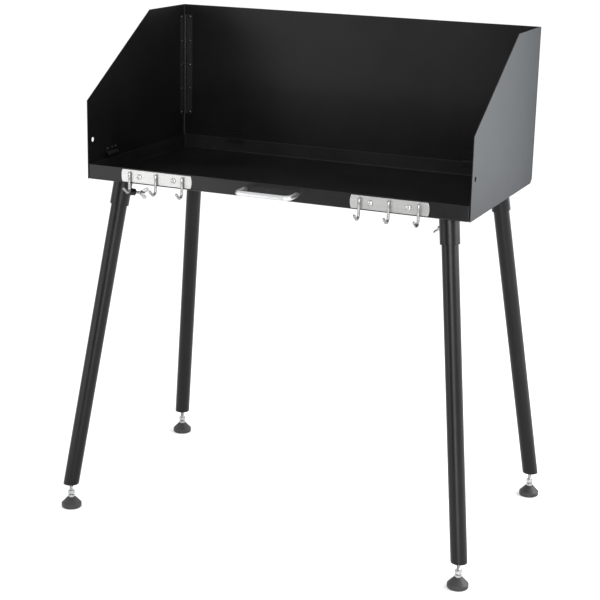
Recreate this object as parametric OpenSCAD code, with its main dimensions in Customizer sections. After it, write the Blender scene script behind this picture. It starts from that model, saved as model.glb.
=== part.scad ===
// Camp cook table for cast iron pots: a shallow steel tray with a hinged three sided
// windscreen, on four splayed tube legs that pull out of clamped sockets and end in
// levelling feet. Two hook rails and a pull handle sit on the front lip.
// Millimetres, +Z up, +X to the right, front towards -Y.
// The origin is on the ground, under the middle of the tray.

/* [Tray] */
// Width of the tray over its side lips
tray_w = 790; // [650:5:1000]
// Depth of the tray over its front and rear lips
tray_d = 406; // [330:2:500]
// Height of the lip from the tray's underside
lip_h = 30; // [26:1:45]
// Thickness of the tray's sheet
tray_t = 1.5; // [1:0.1:2.5]
// Outside radius of the folded edge under the lip
fold_r = 3; // [2.6:0.2:6]
// Outside radius of the tray's upright corners
corner_r = 2.6; // [2.6:0.2:6]
// Height of the tray's underside above the ground
table_h = 692; // [500:2:900]

/* [Windscreen] */
// Height of the screen from the tray's underside
screen_h = 313; // [300:1:400]
// Height of a wing at its front edge
wing_front_h = 156; // [110:1:220]
// Length of a wing's level top edge
wing_top_l = 152; // [60:1:250]
// Radius of a wing's lower rear corner
wing_corner = 8; // [2:1:24]
// Thickness of the screen's sheet
screen_t = 1.5; // [1:0.1:2.5]
// Clearance between the tray's lips and the screen
screen_gap = 0.5; // [0.3:0.1:1.5]
// Diameter of the hole near a wing's front edge
wing_hole_d = 9.5; // [5:0.5:14]
// Distance of that hole behind the front edge
wing_hole_in = 19; // [12:1:40]
// Height of that hole above the tray's underside
wing_hole_h = 76; // [60:1:100]

/* [Screen hinges] */
// Height of a hinge's lower end above the tray's underside
hinge_low = 75; // [62:1:100]
// Length of a hinge
hinge_l = 216; // [150:1:220]
// Number of knuckles on a hinge, wing and back leaf together
knuckle_n = 17; // [9:2:25]
// Outside diameter of a knuckle
knuckle_d = 5; // [4.6:0.2:7]
// Diameter of the hinge pin
pin_d = 2.4; // [1.8:0.1:3]
// Width of a leaf from the pin's axis
leaf_w = 16; // [15.5:0.5:24]
// Thickness of a leaf
leaf_t = 1; // [0.8:0.1:1.5]
// Running clearance round the pin
pin_gap = 0.15; // [0.1:0.05:0.3]
// Clearance beside and between knuckles
knuckle_gap = 0.4; // [0.3:0.1:0.8]
// Distance of the knuckles from the panels
knuckle_off = 0.4; // [0.3:0.1:1]
// Gap between a wing's rear edge and the back panel, which lets the wing swing out a little
rear_gap = 2; // [1.9:0.1:4]
// Number of rivets in each leaf
rivet_n = 5; // [3:1:6]
// Distance of the rivets from the pin's axis
rivet_in = 10; // [9.5:0.5:11.5]
// Diameter of a rivet's head
rivet_head_d = 6; // [4.5:0.5:7]
// Height of a rivet's head
rivet_head_h = 1.4; // [1:0.1:2]
// Diameter of a rivet's shank
rivet_d = 3; // [2.4:0.2:4]
// Distance of the end rivets from the hinge's ends
rivet_end = 4.5; // [4:0.5:12]
// Clearance round rivets and screws in their holes
hole_gap = 0.1; // [0.05:0.05:0.4]

/* [Lip clips] */
// Width of a clip along the lip
clip_w = 42; // [30:1:60]
// Thickness of a clip's sheet
clip_t = 1.5; // [1:0.1:2]
// Height of a clip above the lip
clip_h = 20; // [16:1:30]
// Inside radius of the bead that rests on the lip
bead_r = 5; // [3.5:0.5:5.5]
// Distance of a wing clip's middle behind the tray's front
clip_in = 89; // [60:1:160]
// Distance of a rear clip's middle inside the tray's side
rear_clip_in = 125; // [60:5:200]
// Reach of a rear clip down inside the lip
rear_clip_drop = 10; // [6:1:16]
// Clearance between a clip and the lip
clip_gap = 0.3; // [0.2:0.1:0.8]

/* [Hook rails] */
// Length of a rail
rail_l = 155; // [130:1:200]
// Height of a rail
rail_h = 25; // [18:0.5:25]
// Thickness of a rail
rail_t = 1.5; // [1:0.1:2.5]
// Distance of a rail's middle inside the tray's side
rail_in = 153; // [120:1:180]
// Height of a rail's middle above the tray's underside
rail_z = 15.5; // [15:0.5:16]
// Radius of a rail's bowed ends
rail_end_r = 32; // [20:1:80]
// Number of hooks on a rail
hook_n = 3; // [2:1:3]
// Distance from hook to hook
hook_pitch = 58; // [50:1:60]
// Diameter of a hook's bar
hook_d = 5.5; // [4:0.5:6]
// Bend radius of a hook's bar, along its middle
hook_r = 8; // [6:0.5:12]
// Height of a hook's top end above the tray's underside
hook_top = 24; // [18:0.5:26]
// Drop of the bend's centre below the tray's underside
hook_drop = 7; // [4:0.5:20]
// Angle of the bend
hook_bend = 130; // [100:1:170]
// Length of the straight tip
hook_tip = 12; // [4:0.5:20]
// Distance between the two screws of a rail
rail_screw_pitch = 75; // [60:1:90]
// Diameter of a rail screw's head
rail_head_d = 11; // [8:0.5:14]
// Height of a rail screw's head
rail_head_h = 3; // [2:0.2:4]
// Diameter of a rail screw
rail_screw_d = 4; // [3:0.5:5]
// Width of a rail nut across its flats
rail_nut_af = 7; // [6:0.5:10]
// Thickness of a rail nut
rail_nut_t = 3.2; // [2:0.2:5]

/* [Handle] */
// Distance between the handle's two feet
handle_l = 107; // [70:1:140]
// Diameter of the handle's bar
handle_d = 10; // [8:0.5:12]
// Distance of the handle's middle to the right of the table's middle
handle_x = 4; // [0:1:20]
// Distance of the bar's middle in front of the lip
handle_out = 42; // [24:1:60]
// Bend radius of the bar, along its middle
handle_r = 11; // [9:0.5:16]
// Height of the handle's feet above the tray's underside
handle_z = 15.5; // [13:0.5:17.5]
// Drop of the bar below its feet
handle_drop = 0; // [0:0.5:5]
// Diameter of a handle screw
handle_screw_d = 5; // [4:0.5:6]
// Depth of a handle screw in its foot
handle_screw_l = 14; // [8:1:18]
// Diameter of a handle screw's head
handle_head_d = 10; // [8:0.5:12]
// Height of a handle screw's head
handle_head_h = 3.5; // [2:0.5:5]

/* [Leg sockets] */
// Distance of a leg's axis inside the tray's side, at the tray
leg_in_x = 53; // [40:1:115]
// Distance of a leg's axis inside the tray's front or rear, at the tray
leg_in_y = 47; // [43:1:93]
// Outside diameter of a socket
socket_d = 38; // [36.5:0.5:45]
// Clearance between a leg and its socket
socket_gap = 0.5; // [0.3:0.1:0.9]
// Length of a socket below the tray
socket_l = 55; // [50:1:90]
// Distance of the clamp screw below the tray, along the socket
clamp_down = 27; // [26:1:33]
// Diameter of the threaded boss on a socket
boss_d = 14; // [11:0.5:16]
// Length of the threaded boss
boss_l = 10; // [6:0.5:14]

/* [Wing screws] */
// Diameter of a wing screw's shank
wing_screw_d = 6; // [5:0.5:8]
// Clearance round the shank in its boss
wing_screw_gap = 0.2; // [0.1:0.05:0.4]
// Bare shank between the boss and the hub
wing_bare = 11; // [3:0.5:14]
// Diameter of the hub
hub_d = 10.5; // [9:0.5:14]
// Length of the hub
hub_l = 9; // [7:0.5:12]
// Span over both ears
ear_span = 27; // [24:0.5:32]
// Thickness of an ear
ear_t = 2.6; // [2:0.2:4]
// Radius of an ear's round tip
ear_r = 4.5; // [3.5:0.1:5]

/* [Legs] */
// Splay of a leg's lower end from its top, across
splay_x = 81; // [38:1:118]
// Splay of a leg's lower end from its top, front to rear
splay_y = 90; // [54:1:124]
// Outside diameter of a leg
leg_d = 32; // [25:0.5:32]
// Wall of a leg
leg_wall = 1.5; // [1:0.1:2.5]
// Height of a leg's lower end above the ground
leg_end_h = 52; // [49:1:70]
// Clearance between a leg's top end and the tray
leg_top_gap = 0.4; // [0.3:0.1:2]
// Thickness of the plug in a leg's lower end
plug_t = 6; // [4:0.5:12]
// Clearance between the plug and the leg
plug_gap = 0.1; // [0.05:0.05:0.3]
// Diameter of the plug's threaded neck
neck_d = 12; // [11:0.5:14]
// Length of the neck below the leg
neck_l = 2.5; // [1:0.5:4]

/* [Levelling feet] */
// Diameter of a foot pad
pad_d = 41; // [30:0.5:50]
// Height of the pad's straight side
pad_side = 9; // [6:0.5:14]
// Height of the pad
pad_h = 22; // [18:0.5:23]
// Diameter of the pad's top
pad_top_d = 16.5; // [15.5:0.5:22]
// Radius round the pad's lower edge
pad_round = 2.5; // [1:0.5:4]
// Diameter of the stud
stud_d = 8; // [6:0.5:8.5]
// Clearance round the stud in its thread
stud_gap = 0.2; // [0.1:0.05:0.4]
// Length of stud above the leg's lower end
stud_in = 34; // [25:1:60]
// Depth of the stud in the pad
stud_seat = 12; // [6:0.5:16]
// Width across the flats of the stud's hexagon and of its nut
hex_af = 13; // [11:0.5:14]
// Thickness of the stud's hexagon
hex_t = 4.5; // [3:0.5:5]
// Thickness of the jam nut
nut_t = 6.5; // [4:0.5:7]
// Bare stud between the hexagon and the jam nut
nut_gap = 3; // [1:0.5:5]

/* [Hidden] */
$fn = 64;

// Finishes
black = "#26272a";
steel = "#b9bcbf";
zinc = "#c9ccd0";
plastic = "#323335";

// Overlap of a cutting tool past the face that it cuts
past = 1;

// Difference in diameter between a hook's bar and its polished tip
tip_less = 0.1;

// Diameter of a wing screw's hub at its outer end, as a share of its diameter at the boss
hub_taper = 0.8;

// Where an ear's straight edges meet its round tip, in degrees about the tip's middle
ear_lower_edge = -20;
ear_upper_edge = 150;

// Diameter and height of a hinge pin's peened ends, as shares of the pin's diameter
pin_head_wide = 1.5;
pin_head_high = 0.25;

// How far round each wing screw was left when it was last tightened
turn_front_left = 20;
turn_front_right = 50;
turn_rear_left = 100;
turn_rear_right = 40;

// Places on the tray
front_y = -tray_d / 2;
lip_top = table_h + lip_h;
rail_x = tray_w / 2 - rail_in;
rear_clip_x = tray_w / 2 - rear_clip_in;
leg_top_x = tray_w / 2 - leg_in_x;
leg_top_y = tray_d / 2 - leg_in_y;
foot_x = leg_top_x + splay_x;
foot_y = leg_top_y + splay_y;

// Places on the windscreen: inner faces of the panels, and the right hinge's axis
wing_x = tray_w / 2 + screen_gap;
back_y = tray_d / 2 + screen_gap;
knuckle_r = knuckle_d / 2;
axis_off = knuckle_r + knuckle_off;
hinge_x = wing_x - axis_off;
hinge_y = back_y - axis_off;
hinge_z = table_h + hinge_low;
back_half = wing_x + screen_t;
wing_rear = back_y - rear_gap;
knuckle_l = (hinge_l - (knuckle_n - 1) * knuckle_gap) / knuckle_n;
rivet_pitch = (hinge_l - 2 * rivet_end) / (rivet_n - 1);

// Lean of the legs
lean = atan2(norm([splay_x, splay_y]), table_h - leg_end_h);
leg_top_drop = (leg_d / 2 * sin(lean) + leg_top_gap) / cos(lean);
leg_len = (table_h - leg_end_h) / cos(lean);

// Radii and stations that several pieces share
socket_bore_d = leg_d + 2 * socket_gap;
leg_bore_d = leg_d - 2 * leg_wall;
boss_out = socket_d / 2 + boss_l;
hub_out = boss_out + wing_bare;
stud_hole_d = stud_d + 2 * stud_gap;
hex_top = pad_h + hex_t;
hex_corner = 1 / cos(30);

// A rounded bar outline, w wide and h high, with its two lower corners round
module fold_outline(w, h, r) {
    translate([-w / 2, r]) square([w, h - r]);
    translate([-w / 2 + r, 0]) square([w - 2 * r, r + past / 10]);
    for (side = [-1, 1]) translate([side * (w / 2 - r), r]) circle(r);
}

// A rectangle with its four corners round
module round_rectangle(w, d, r) {
    square([w - 2 * r, d], center = true);
    square([w, d - 2 * r], center = true);
    for (x = [-1, 1], y = [-1, 1]) translate([x * (w / 2 - r), y * (d / 2 - r)]) circle(r);
}

// A box with its four lower edges and its upright corners round, as a folded sheet leaves it
module fold_box(w, d, h, r, upright_r) {
    intersection() {
        rotate([90, 0, 0]) linear_extrude(d, center = true) fold_outline(w, h, r);
        rotate([90, 0, 90]) linear_extrude(w, center = true) fold_outline(d, h, r);
        linear_extrude(h) round_rectangle(w, d, upright_r);
    }
}

// A cylinder along Y from y0 to y1
module along_y(d, x, z, y0, y1) {
    translate([x, y0, z]) rotate([-90, 0, 0]) cylinder(d = d, h = y1 - y0);
}

// A bar of length l along +Z that ends in a ball at its top
module ball_bar(d, l) {
    cylinder(d = d, h = l);
    translate([0, 0, l]) sphere(d = d);
}

// A part turn of a round bar, bent about the Z axis in the XY plane
module bent_bar(d, r, angle) {
    rotate_extrude(angle = angle) translate([r, 0]) circle(d = d);
}

// A domed head of diameter d and height h, standing on Z = 0
module dome_head(d, h) {
    ball = (d * d / 4 + h * h) / (2 * h);
    intersection() {
        translate([0, 0, h - ball]) sphere(ball);
        cylinder(d = d, h = h);
    }
}

// A hexagon of width af across its flats
module hexagon(af, h) {
    cylinder(d = af * hex_corner, h = h, $fn = 6);
}

// Side of the table: -1 is left or front, 1 is right or rear
function mirror_of(side) = side < 0 ? [1, 0, 0] : [0, 0, 0];

// Places of the screws in the front lip
rail_screw_x = [for (rail = [-1, 1], end = [-1, 1]) rail * rail_x + end * rail_screw_pitch / 2];
handle_screw_x = [for (end = [-1, 1]) handle_x + end * handle_l / 2];

module tray() {
    color(black) difference() {
        translate([0, 0, table_h]) fold_box(tray_w, tray_d, lip_h, fold_r, corner_r);
        translate([0, 0, table_h + tray_t])
            fold_box(tray_w - 2 * tray_t, tray_d - 2 * tray_t, lip_h, fold_r - tray_t, corner_r - tray_t);
        for (x = rail_screw_x)
            along_y(rail_screw_d + 2 * hole_gap, x, table_h + rail_z,
                front_y - past, front_y + tray_t + past);
        for (x = handle_screw_x)
            along_y(handle_screw_d + 2 * hole_gap, x, table_h + handle_z,
                front_y - past, front_y + tray_t + past);
    }
}

// Leg parts are drawn round the leg's own axis, which rises along +Z to the tray's underside,
// with +X pointing out of the table. This turns them to the corner side_x, side_y.
module at_leg(side_x, side_y) {
    translate([side_x * leg_top_x, side_y * leg_top_y, table_h])
        rotate([0, -lean, atan2(side_y * splay_y, side_x * splay_x)]) children();
}

// Everything above the tray's underside is cut from what is welded below it
module below_tray() {
    difference() {
        children();
        translate([-tray_w, -tray_d, table_h]) cube([2 * tray_w, 2 * tray_d, 2 * socket_d]);
    }
}

// The clamp screw points from the table's middle at the leg, so its axis is the leg frame's X
module at_clamp() {
    translate([0, 0, -clamp_down]) rotate([0, -90, 0]) children();
}

module socket(side_x, side_y) {
    color(black) below_tray() at_leg(side_x, side_y) difference() {
        translate([0, 0, -socket_l]) cylinder(d = socket_d, h = socket_l + socket_d / 2);
        translate([0, 0, -socket_l - past]) cylinder(d = socket_bore_d, h = socket_l + socket_d);
        at_clamp() cylinder(d = wing_screw_d + 2 * wing_screw_gap, h = socket_d);
    }
}

// The boss is coped to the socket's wall
module boss(side_x, side_y) {
    color(black) at_leg(side_x, side_y) difference() {
        at_clamp() cylinder(d = boss_d, h = boss_out);
        at_clamp() translate([0, 0, -past])
            cylinder(d = wing_screw_d + 2 * wing_screw_gap, h = boss_out + 2 * past);
        translate([0, 0, -clamp_down - boss_d])
            cylinder(d = socket_d + 2 * hole_gap, h = 2 * boss_d);
    }
}

// One ear of a wing screw, leaning away from the hub, drawn in the plane of X and Y
module ear_outline() {
    tip_x = ear_span / 2 - ear_r;
    tip_y = hub_l + ear_r / 2;
    difference() {
        union() {
            translate([tip_x, tip_y]) circle(ear_r);
            polygon([[0, 0], [hub_d / 2, past],
                [tip_x + ear_r * cos(ear_lower_edge), tip_y + ear_r * sin(ear_lower_edge)],
                [tip_x + ear_r * cos(ear_upper_edge), tip_y + ear_r * sin(ear_upper_edge)], [0, hub_l]]);
        }
        translate([-ear_span, -hub_l]) square([ear_span, 4 * hub_l]);
    }
}

module wing_screw(side_x, side_y, turn) {
    tip = leg_d / 2 + hole_gap;
    color(zinc) at_leg(side_x, side_y) at_clamp() rotate([0, 0, turn]) {
        translate([0, 0, tip]) cylinder(d = wing_screw_d, h = hub_out - tip + past);
        translate([0, 0, hub_out]) cylinder(d1 = hub_d, d2 = hub_d * hub_taper, h = hub_l);
        for (side = [0, 180]) rotate([90, 0, side])
            translate([0, hub_out, 0]) linear_extrude(ear_t, center = true) ear_outline();
    }
}

// A leg is cut square at its top and level with the ground at its lower end
module leg(side_x, side_y) {
    color(black) difference() {
        at_leg(side_x, side_y) difference() {
            translate([0, 0, -leg_len - leg_d]) cylinder(d = leg_d, h = leg_len + leg_d - leg_top_drop);
            translate([0, 0, -leg_len - leg_d - past]) cylinder(d = leg_bore_d, h = leg_len + 2 * leg_d);
        }
        ground_block(leg_end_h);
    }
}

// A block from below the ground up to height h
module ground_block(h) {
    translate([-tray_w, -tray_w, -table_h]) cube([2 * tray_w, 2 * tray_w, table_h + h]);
}

// The plug fills the leg's lower end and carries the stud's thread
module plug(side_x, side_y) {
    color(black) difference() {
        union() {
            difference() {
                at_leg(side_x, side_y) translate([0, 0, -leg_len - leg_d])
                    cylinder(d = leg_bore_d - 2 * plug_gap, h = 2 * leg_d);
                ground_block(leg_end_h);
                translate([-tray_w, -tray_w, leg_end_h + plug_t]) cube([2 * tray_w, 2 * tray_w, table_h]);
            }
            at_foot(side_x, side_y) translate([0, 0, leg_end_h - neck_l])
                cylinder(d = neck_d, h = neck_l + plug_t / 2);
        }
        at_foot(side_x, side_y) cylinder(d = stud_hole_d, h = leg_end_h + plug_t + past);
    }
}

module at_foot(side_x, side_y) {
    translate([side_x * foot_x, side_y * foot_y, 0]) children();
}

module stud(side_x, side_y) {
    color(zinc) at_foot(side_x, side_y) {
        translate([0, 0, pad_h - stud_seat])
            cylinder(d = stud_d, h = leg_end_h + stud_in - pad_h + stud_seat);
        translate([0, 0, pad_h]) hexagon(hex_af, hex_t);
    }
}

// A hexagon whose corners are turned off at both faces, as on a nut
module nut_hexagon(af, h) {
    corner = af / 2 * hex_corner;
    turned = (corner - af / 2) * tan(30);
    intersection() {
        hexagon(af, h);
        rotate_extrude() polygon([[0, 0], [af / 2, 0], [corner, turned], [corner, h - turned],
            [af / 2, h], [0, h]]);
    }
}

module jam_nut(side_x, side_y) {
    color(zinc) at_foot(side_x, side_y) translate([0, 0, hex_top + nut_gap]) difference() {
        nut_hexagon(hex_af, nut_t);
        translate([0, 0, -past]) cylinder(d = stud_d + 2 * hole_gap, h = nut_t + 2 * past);
    }
}

module pad(side_x, side_y) {
    color(plastic) at_foot(side_x, side_y) difference() {
        rotate_extrude() union() {
            square([pad_d / 2 - pad_round, pad_round + past / 10]);
            translate([pad_d / 2 - pad_round, pad_round]) intersection() {
                circle(pad_round);
                translate([0, -pad_round]) square(pad_round);
            }
            polygon([[0, pad_round], [pad_d / 2, pad_round], [pad_d / 2, pad_side],
                [pad_top_d / 2, pad_h], [0, pad_h]]);
        }
        translate([0, 0, pad_h - stud_seat - hole_gap])
            cylinder(d = stud_d + 2 * hole_gap, h = stud_seat + past);
    }
}

module back_panel() {
    color(black) difference() {
        translate([-back_half, back_y, table_h]) cube([2 * back_half, screen_t, screen_h]);
        for (side = [-1, 1]) rivet_places() along_y(rivet_d + 2 * hole_gap, side * (hinge_x - rivet_in), 0,
            back_y - past, back_y + screen_t + past);
    }
}

// Repeats its children at each rivet's height on a hinge
module rivet_places() {
    for (i = [0 : rivet_n - 1]) translate([0, 0, hinge_z + rivet_end + i * rivet_pitch]) children();
}

// A rivet with its head at the origin on the leaf, and its shank along +Z
module rivet() {
    cylinder(d = rivet_d, h = leaf_t + screen_t);
    mirror([0, 0, 1]) dome_head(rivet_head_d, rivet_head_h);
}

module back_rivets() {
    color(black) for (side = [-1, 1]) rivet_places()
        translate([side * (hinge_x - rivet_in), back_y - leaf_t, 0]) rotate([-90, 0, 0]) rivet();
}

// A wing's outline from front to rear, with its raked front and its round lower rear corner
module wing_outline() {
    difference() {
        polygon([[front_y, 0], [front_y, wing_front_h], [wing_rear - wing_top_l, screen_h],
            [wing_rear, screen_h], [wing_rear, 0]]);
        translate([front_y + wing_hole_in, wing_hole_h]) circle(d = wing_hole_d);
        translate([wing_rear - wing_corner, wing_corner]) difference() {
            translate([0, -wing_corner - past]) square(wing_corner + past);
            circle(wing_corner);
        }
    }
}

// Wings and their pieces are drawn for the right side and mirrored to the left
module wing(side) {
    color(black) mirror(mirror_of(side)) difference() {
        translate([wing_x, 0, table_h]) rotate([90, 0, 90]) linear_extrude(screen_t) wing_outline();
        rivet_places() translate([wing_x - past, hinge_y - rivet_in, 0]) rotate([0, 90, 0])
            cylinder(d = rivet_d + 2 * hole_gap, h = screen_t + 2 * past);
    }
}

module wing_rivets(side) {
    color(black) mirror(mirror_of(side)) rivet_places()
        translate([wing_x - leaf_t, hinge_y - rivet_in, 0]) rotate([0, 90, 0]) rivet();
}

// One leaf with its knuckles, drawn about the pin's axis with its plate along -Y and its
// mounting face towards +X. Knuckles first, first + 2 and so on are its own.
module leaf(first) {
    step = knuckle_l + knuckle_gap;
    difference() {
        union() {
            translate([axis_off - leaf_t, -leaf_w, 0])
                cube([leaf_t, leaf_w - knuckle_r - knuckle_gap, hinge_l]);
            for (i = [first : 2 : knuckle_n - 1]) translate([0, 0, i * step]) {
                cylinder(d = knuckle_d, h = knuckle_l);
                translate([axis_off - leaf_t, -knuckle_r - 2 * knuckle_gap, 0])
                    cube([leaf_t, knuckle_r + 2 * knuckle_gap, knuckle_l]);
            }
        }
        translate([0, 0, -past]) cylinder(d = pin_d + 2 * pin_gap, h = hinge_l + 2 * past);
        translate([0, -rivet_in, rivet_end]) for (i = [0 : rivet_n - 1])
            translate([0, 0, i * rivet_pitch]) rotate([0, 90, 0])
                cylinder(d = rivet_d + 2 * hole_gap, h = 2 * axis_off);
    }
}

module wing_leaf(side) {
    color(black) mirror(mirror_of(side)) translate([hinge_x, hinge_y, hinge_z]) leaf(1);
}

// The back leaf is the wing leaf's mirror image across the corner's diagonal
module back_leaf(side) {
    color(black) mirror(mirror_of(side)) translate([hinge_x, hinge_y, hinge_z]) mirror([1, -1, 0]) leaf(0);
}

// The pin is peened over at both ends
module hinge_pin(side) {
    head_d = pin_d * pin_head_wide;
    head_h = pin_d * pin_head_high;
    color(steel) translate([side * hinge_x, hinge_y, hinge_z - pin_gap]) {
        cylinder(d = pin_d, h = hinge_l + 2 * pin_gap);
        mirror([0, 0, 1]) dome_head(head_d, head_h);
        translate([0, 0, hinge_l + 2 * pin_gap]) dome_head(head_d, head_h);
    }
}

// Section of a wing clip: a flange on the panel and a half round bead that rests on the lip.
// X is the distance from the panel's inner face, Y the height above the lip.
module clip_section() {
    bead_out = bead_r + clip_t;
    bead_z = clip_gap + bead_out;
    intersection() {
        translate([0, bead_z]) difference() {
            circle(bead_out);
            circle(bead_r);
        }
        translate([0, clip_gap]) square([bead_out, 2 * bead_out]);
    }
    translate([0, bead_z + bead_r]) square([clip_t, clip_h - bead_z - bead_r]);
}

module wing_clip(side) {
    color(black) mirror(mirror_of(side))
        translate([wing_x, front_y + clip_in + clip_w / 2, lip_top]) rotate([90, 0, 180])
            mirror([0, 0, 1]) linear_extrude(clip_w) clip_section();
}

// Section of a rear clip: it hangs over the lip, so it also reaches down inside
module rear_clip_section() {
    inside = screen_gap + tray_t + clip_gap;
    translate([0, clip_gap]) square([clip_t, clip_h - clip_gap]);
    translate([0, clip_gap]) square([inside, clip_t]);
    translate([inside, -rear_clip_drop]) square([clip_t, rear_clip_drop + clip_gap]);
    translate([inside, clip_gap]) intersection() {
        circle(clip_t);
        square(clip_t);
    }
}

module rear_clips() {
    color(black) for (side = [-1, 1])
        translate([side * rear_clip_x - clip_w / 2, back_y, lip_top]) rotate([90, 0, -90])
            mirror([0, 0, 1]) linear_extrude(clip_w) rear_clip_section();
}

// A rail's outline, with bowed ends
module rail_outline() {
    bow = rail_l / 2 - rail_end_r;
    straight = bow + sqrt(rail_end_r * rail_end_r - rail_h * rail_h / 4);
    square([2 * straight, rail_h], center = true);
    for (side = [-1, 1]) intersection() {
        translate([side * bow, 0]) circle(rail_end_r);
        translate([side * rail_l / 2, 0]) square([rail_l / 2, rail_h], center = true);
    }
}

module rail(side) {
    color(steel) difference() {
        translate([side * rail_x, front_y, table_h + rail_z]) rotate([90, 0, 0])
            linear_extrude(rail_t) rail_outline();
        for (end = [-1, 1]) along_y(rail_screw_d + 2 * hole_gap, side * rail_x + end * rail_screw_pitch / 2,
            table_h + rail_z, front_y - rail_t - past, front_y + past);
    }
}

// One hook, drawn with its stem on the Z axis and its bend towards -Y. The tip is polished
// down a little, so it starts inside the bend.
module hook() {
    translate([0, 0, -hook_drop]) cylinder(d = hook_d, h = hook_drop + hook_top);
    translate([0, -hook_r, -hook_drop]) rotate([-90, 0, 90]) {
        bent_bar(hook_d, hook_r, hook_bend);
        rotate([0, 0, hook_bend]) translate([hook_r, -past / 2, 0]) rotate([-90, 0, 0])
            ball_bar(hook_d - tip_less, hook_tip + past / 2);
    }
}

module hooks(side) {
    stem_y = front_y - rail_t - hook_d / 2 - hole_gap;
    color(steel) for (i = [0 : hook_n - 1])
        translate([side * rail_x + (i - (hook_n - 1) / 2) * hook_pitch, stem_y, table_h]) hook();
}

module rail_screws() {
    color(zinc) for (x = rail_screw_x) translate([x, front_y - rail_t, table_h + rail_z]) {
        rotate([90, 0, 0]) dome_head(rail_head_d, rail_head_h);
        rotate([-90, 0, 0]) cylinder(d = rail_screw_d, h = rail_t + tray_t + rail_nut_t + past);
    }
}

module rail_nuts() {
    color(zinc) for (x = rail_screw_x)
        translate([x, front_y + tray_t, table_h + rail_z]) rotate([-90, 0, 0]) difference() {
            hexagon(rail_nut_af, rail_nut_t);
            translate([0, 0, -past]) cylinder(d = rail_screw_d + 2 * hole_gap, h = rail_nut_t + 2 * past);
        }
}

// The handle is bent from one bar, tipped forward, and its feet are cut flush with the lip
module handle() {
    tip = atan(handle_drop / handle_out);
    reach = handle_out / cos(tip);
    color(zinc) difference() {
        translate([handle_x, front_y, table_h + handle_z]) rotate([tip, 0, 0]) {
            for (side = [0, 1]) mirror([side, 0, 0]) {
                translate([handle_l / 2, -reach + handle_r, 0]) rotate([-90, 0, 0])
                    cylinder(d = handle_d, h = reach - handle_r + handle_d);
                translate([handle_l / 2 - handle_r, -reach + handle_r, 0]) rotate([0, 0, -90])
                    bent_bar(handle_d, handle_r, 90);
            }
            translate([-handle_l / 2 + handle_r, -reach, 0]) rotate([0, 90, 0])
                cylinder(d = handle_d, h = handle_l - 2 * handle_r);
        }
        translate([handle_x - handle_l, front_y, table_h - handle_l])
            cube([2 * handle_l, 2 * handle_d, 2 * handle_l]);
        for (x = handle_screw_x) along_y(handle_screw_d + 2 * hole_gap, x, table_h + handle_z,
            front_y - handle_screw_l - hole_gap, front_y + past);
    }
}

module handle_screws() {
    color(zinc) for (x = handle_screw_x) translate([x, front_y + tray_t, table_h + handle_z]) {
        rotate([-90, 0, 0]) dome_head(handle_head_d, handle_head_h);
        rotate([90, 0, 0]) cylinder(d = handle_screw_d, h = tray_t + handle_screw_l);
    }
}

tray();

socket(-1, -1);  // socket_front_left
socket(1, -1);  // socket_front_right
socket(-1, 1);  // socket_rear_left
socket(1, 1);  // socket_rear_right

boss(-1, -1);  // boss_front_left
boss(1, -1);  // boss_front_right
boss(-1, 1);  // boss_rear_left
boss(1, 1);  // boss_rear_right

wing_screw(-1, -1, turn_front_left);  // wing_screw_front_left
wing_screw(1, -1, turn_front_right);  // wing_screw_front_right
wing_screw(-1, 1, turn_rear_left);  // wing_screw_rear_left
wing_screw(1, 1, turn_rear_right);  // wing_screw_rear_right

leg(-1, -1);  // leg_front_left
leg(1, -1);  // leg_front_right
leg(-1, 1);  // leg_rear_left
leg(1, 1);  // leg_rear_right

plug(-1, -1);  // plug_front_left
plug(1, -1);  // plug_front_right
plug(-1, 1);  // plug_rear_left
plug(1, 1);  // plug_rear_right

stud(-1, -1);  // stud_front_left
stud(1, -1);  // stud_front_right
stud(-1, 1);  // stud_rear_left
stud(1, 1);  // stud_rear_right

jam_nut(-1, -1);  // jam_nut_front_left
jam_nut(1, -1);  // jam_nut_front_right
jam_nut(-1, 1);  // jam_nut_rear_left
jam_nut(1, 1);  // jam_nut_rear_right

pad(-1, -1);  // pad_front_left
pad(1, -1);  // pad_front_right
pad(-1, 1);  // pad_rear_left
pad(1, 1);  // pad_rear_right

back_panel();
rear_clips();
back_rivets();
back_leaf(-1);  // back_leaf_left
back_leaf(1);  // back_leaf_right
hinge_pin(-1);  // hinge_pin_left
hinge_pin(1);  // hinge_pin_right

wing(-1);  // wing_left
wing(1);  // wing_right
wing_leaf(-1);  // wing_leaf_left
wing_leaf(1);  // wing_leaf_right
wing_rivets(-1);  // wing_rivets_left
wing_rivets(1);  // wing_rivets_right
wing_clip(-1);  // wing_clip_left
wing_clip(1);  // wing_clip_right

rail(-1);  // rail_left
rail(1);  // rail_right
hooks(-1);  // hooks_left
hooks(1);  // hooks_right
rail_screws();
rail_nuts();
handle();
handle_screws();
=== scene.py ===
"""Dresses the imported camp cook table: tray, hinged windscreen, clamped tube legs, hook rails and handle.

Sizes of the pieces are millimetres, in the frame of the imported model: +Z up, +X to the right, front towards
-Y, origin on the ground under the middle of the tray. Finished meshes, the camera and the lights are metres.
"""
import logging
import math
from dataclasses import dataclass, field
from enum import Enum
from typing import Callable, Iterable, Mapping, Sequence, Union

import bmesh
import bpy
from mathutils import Matrix, Vector


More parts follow.
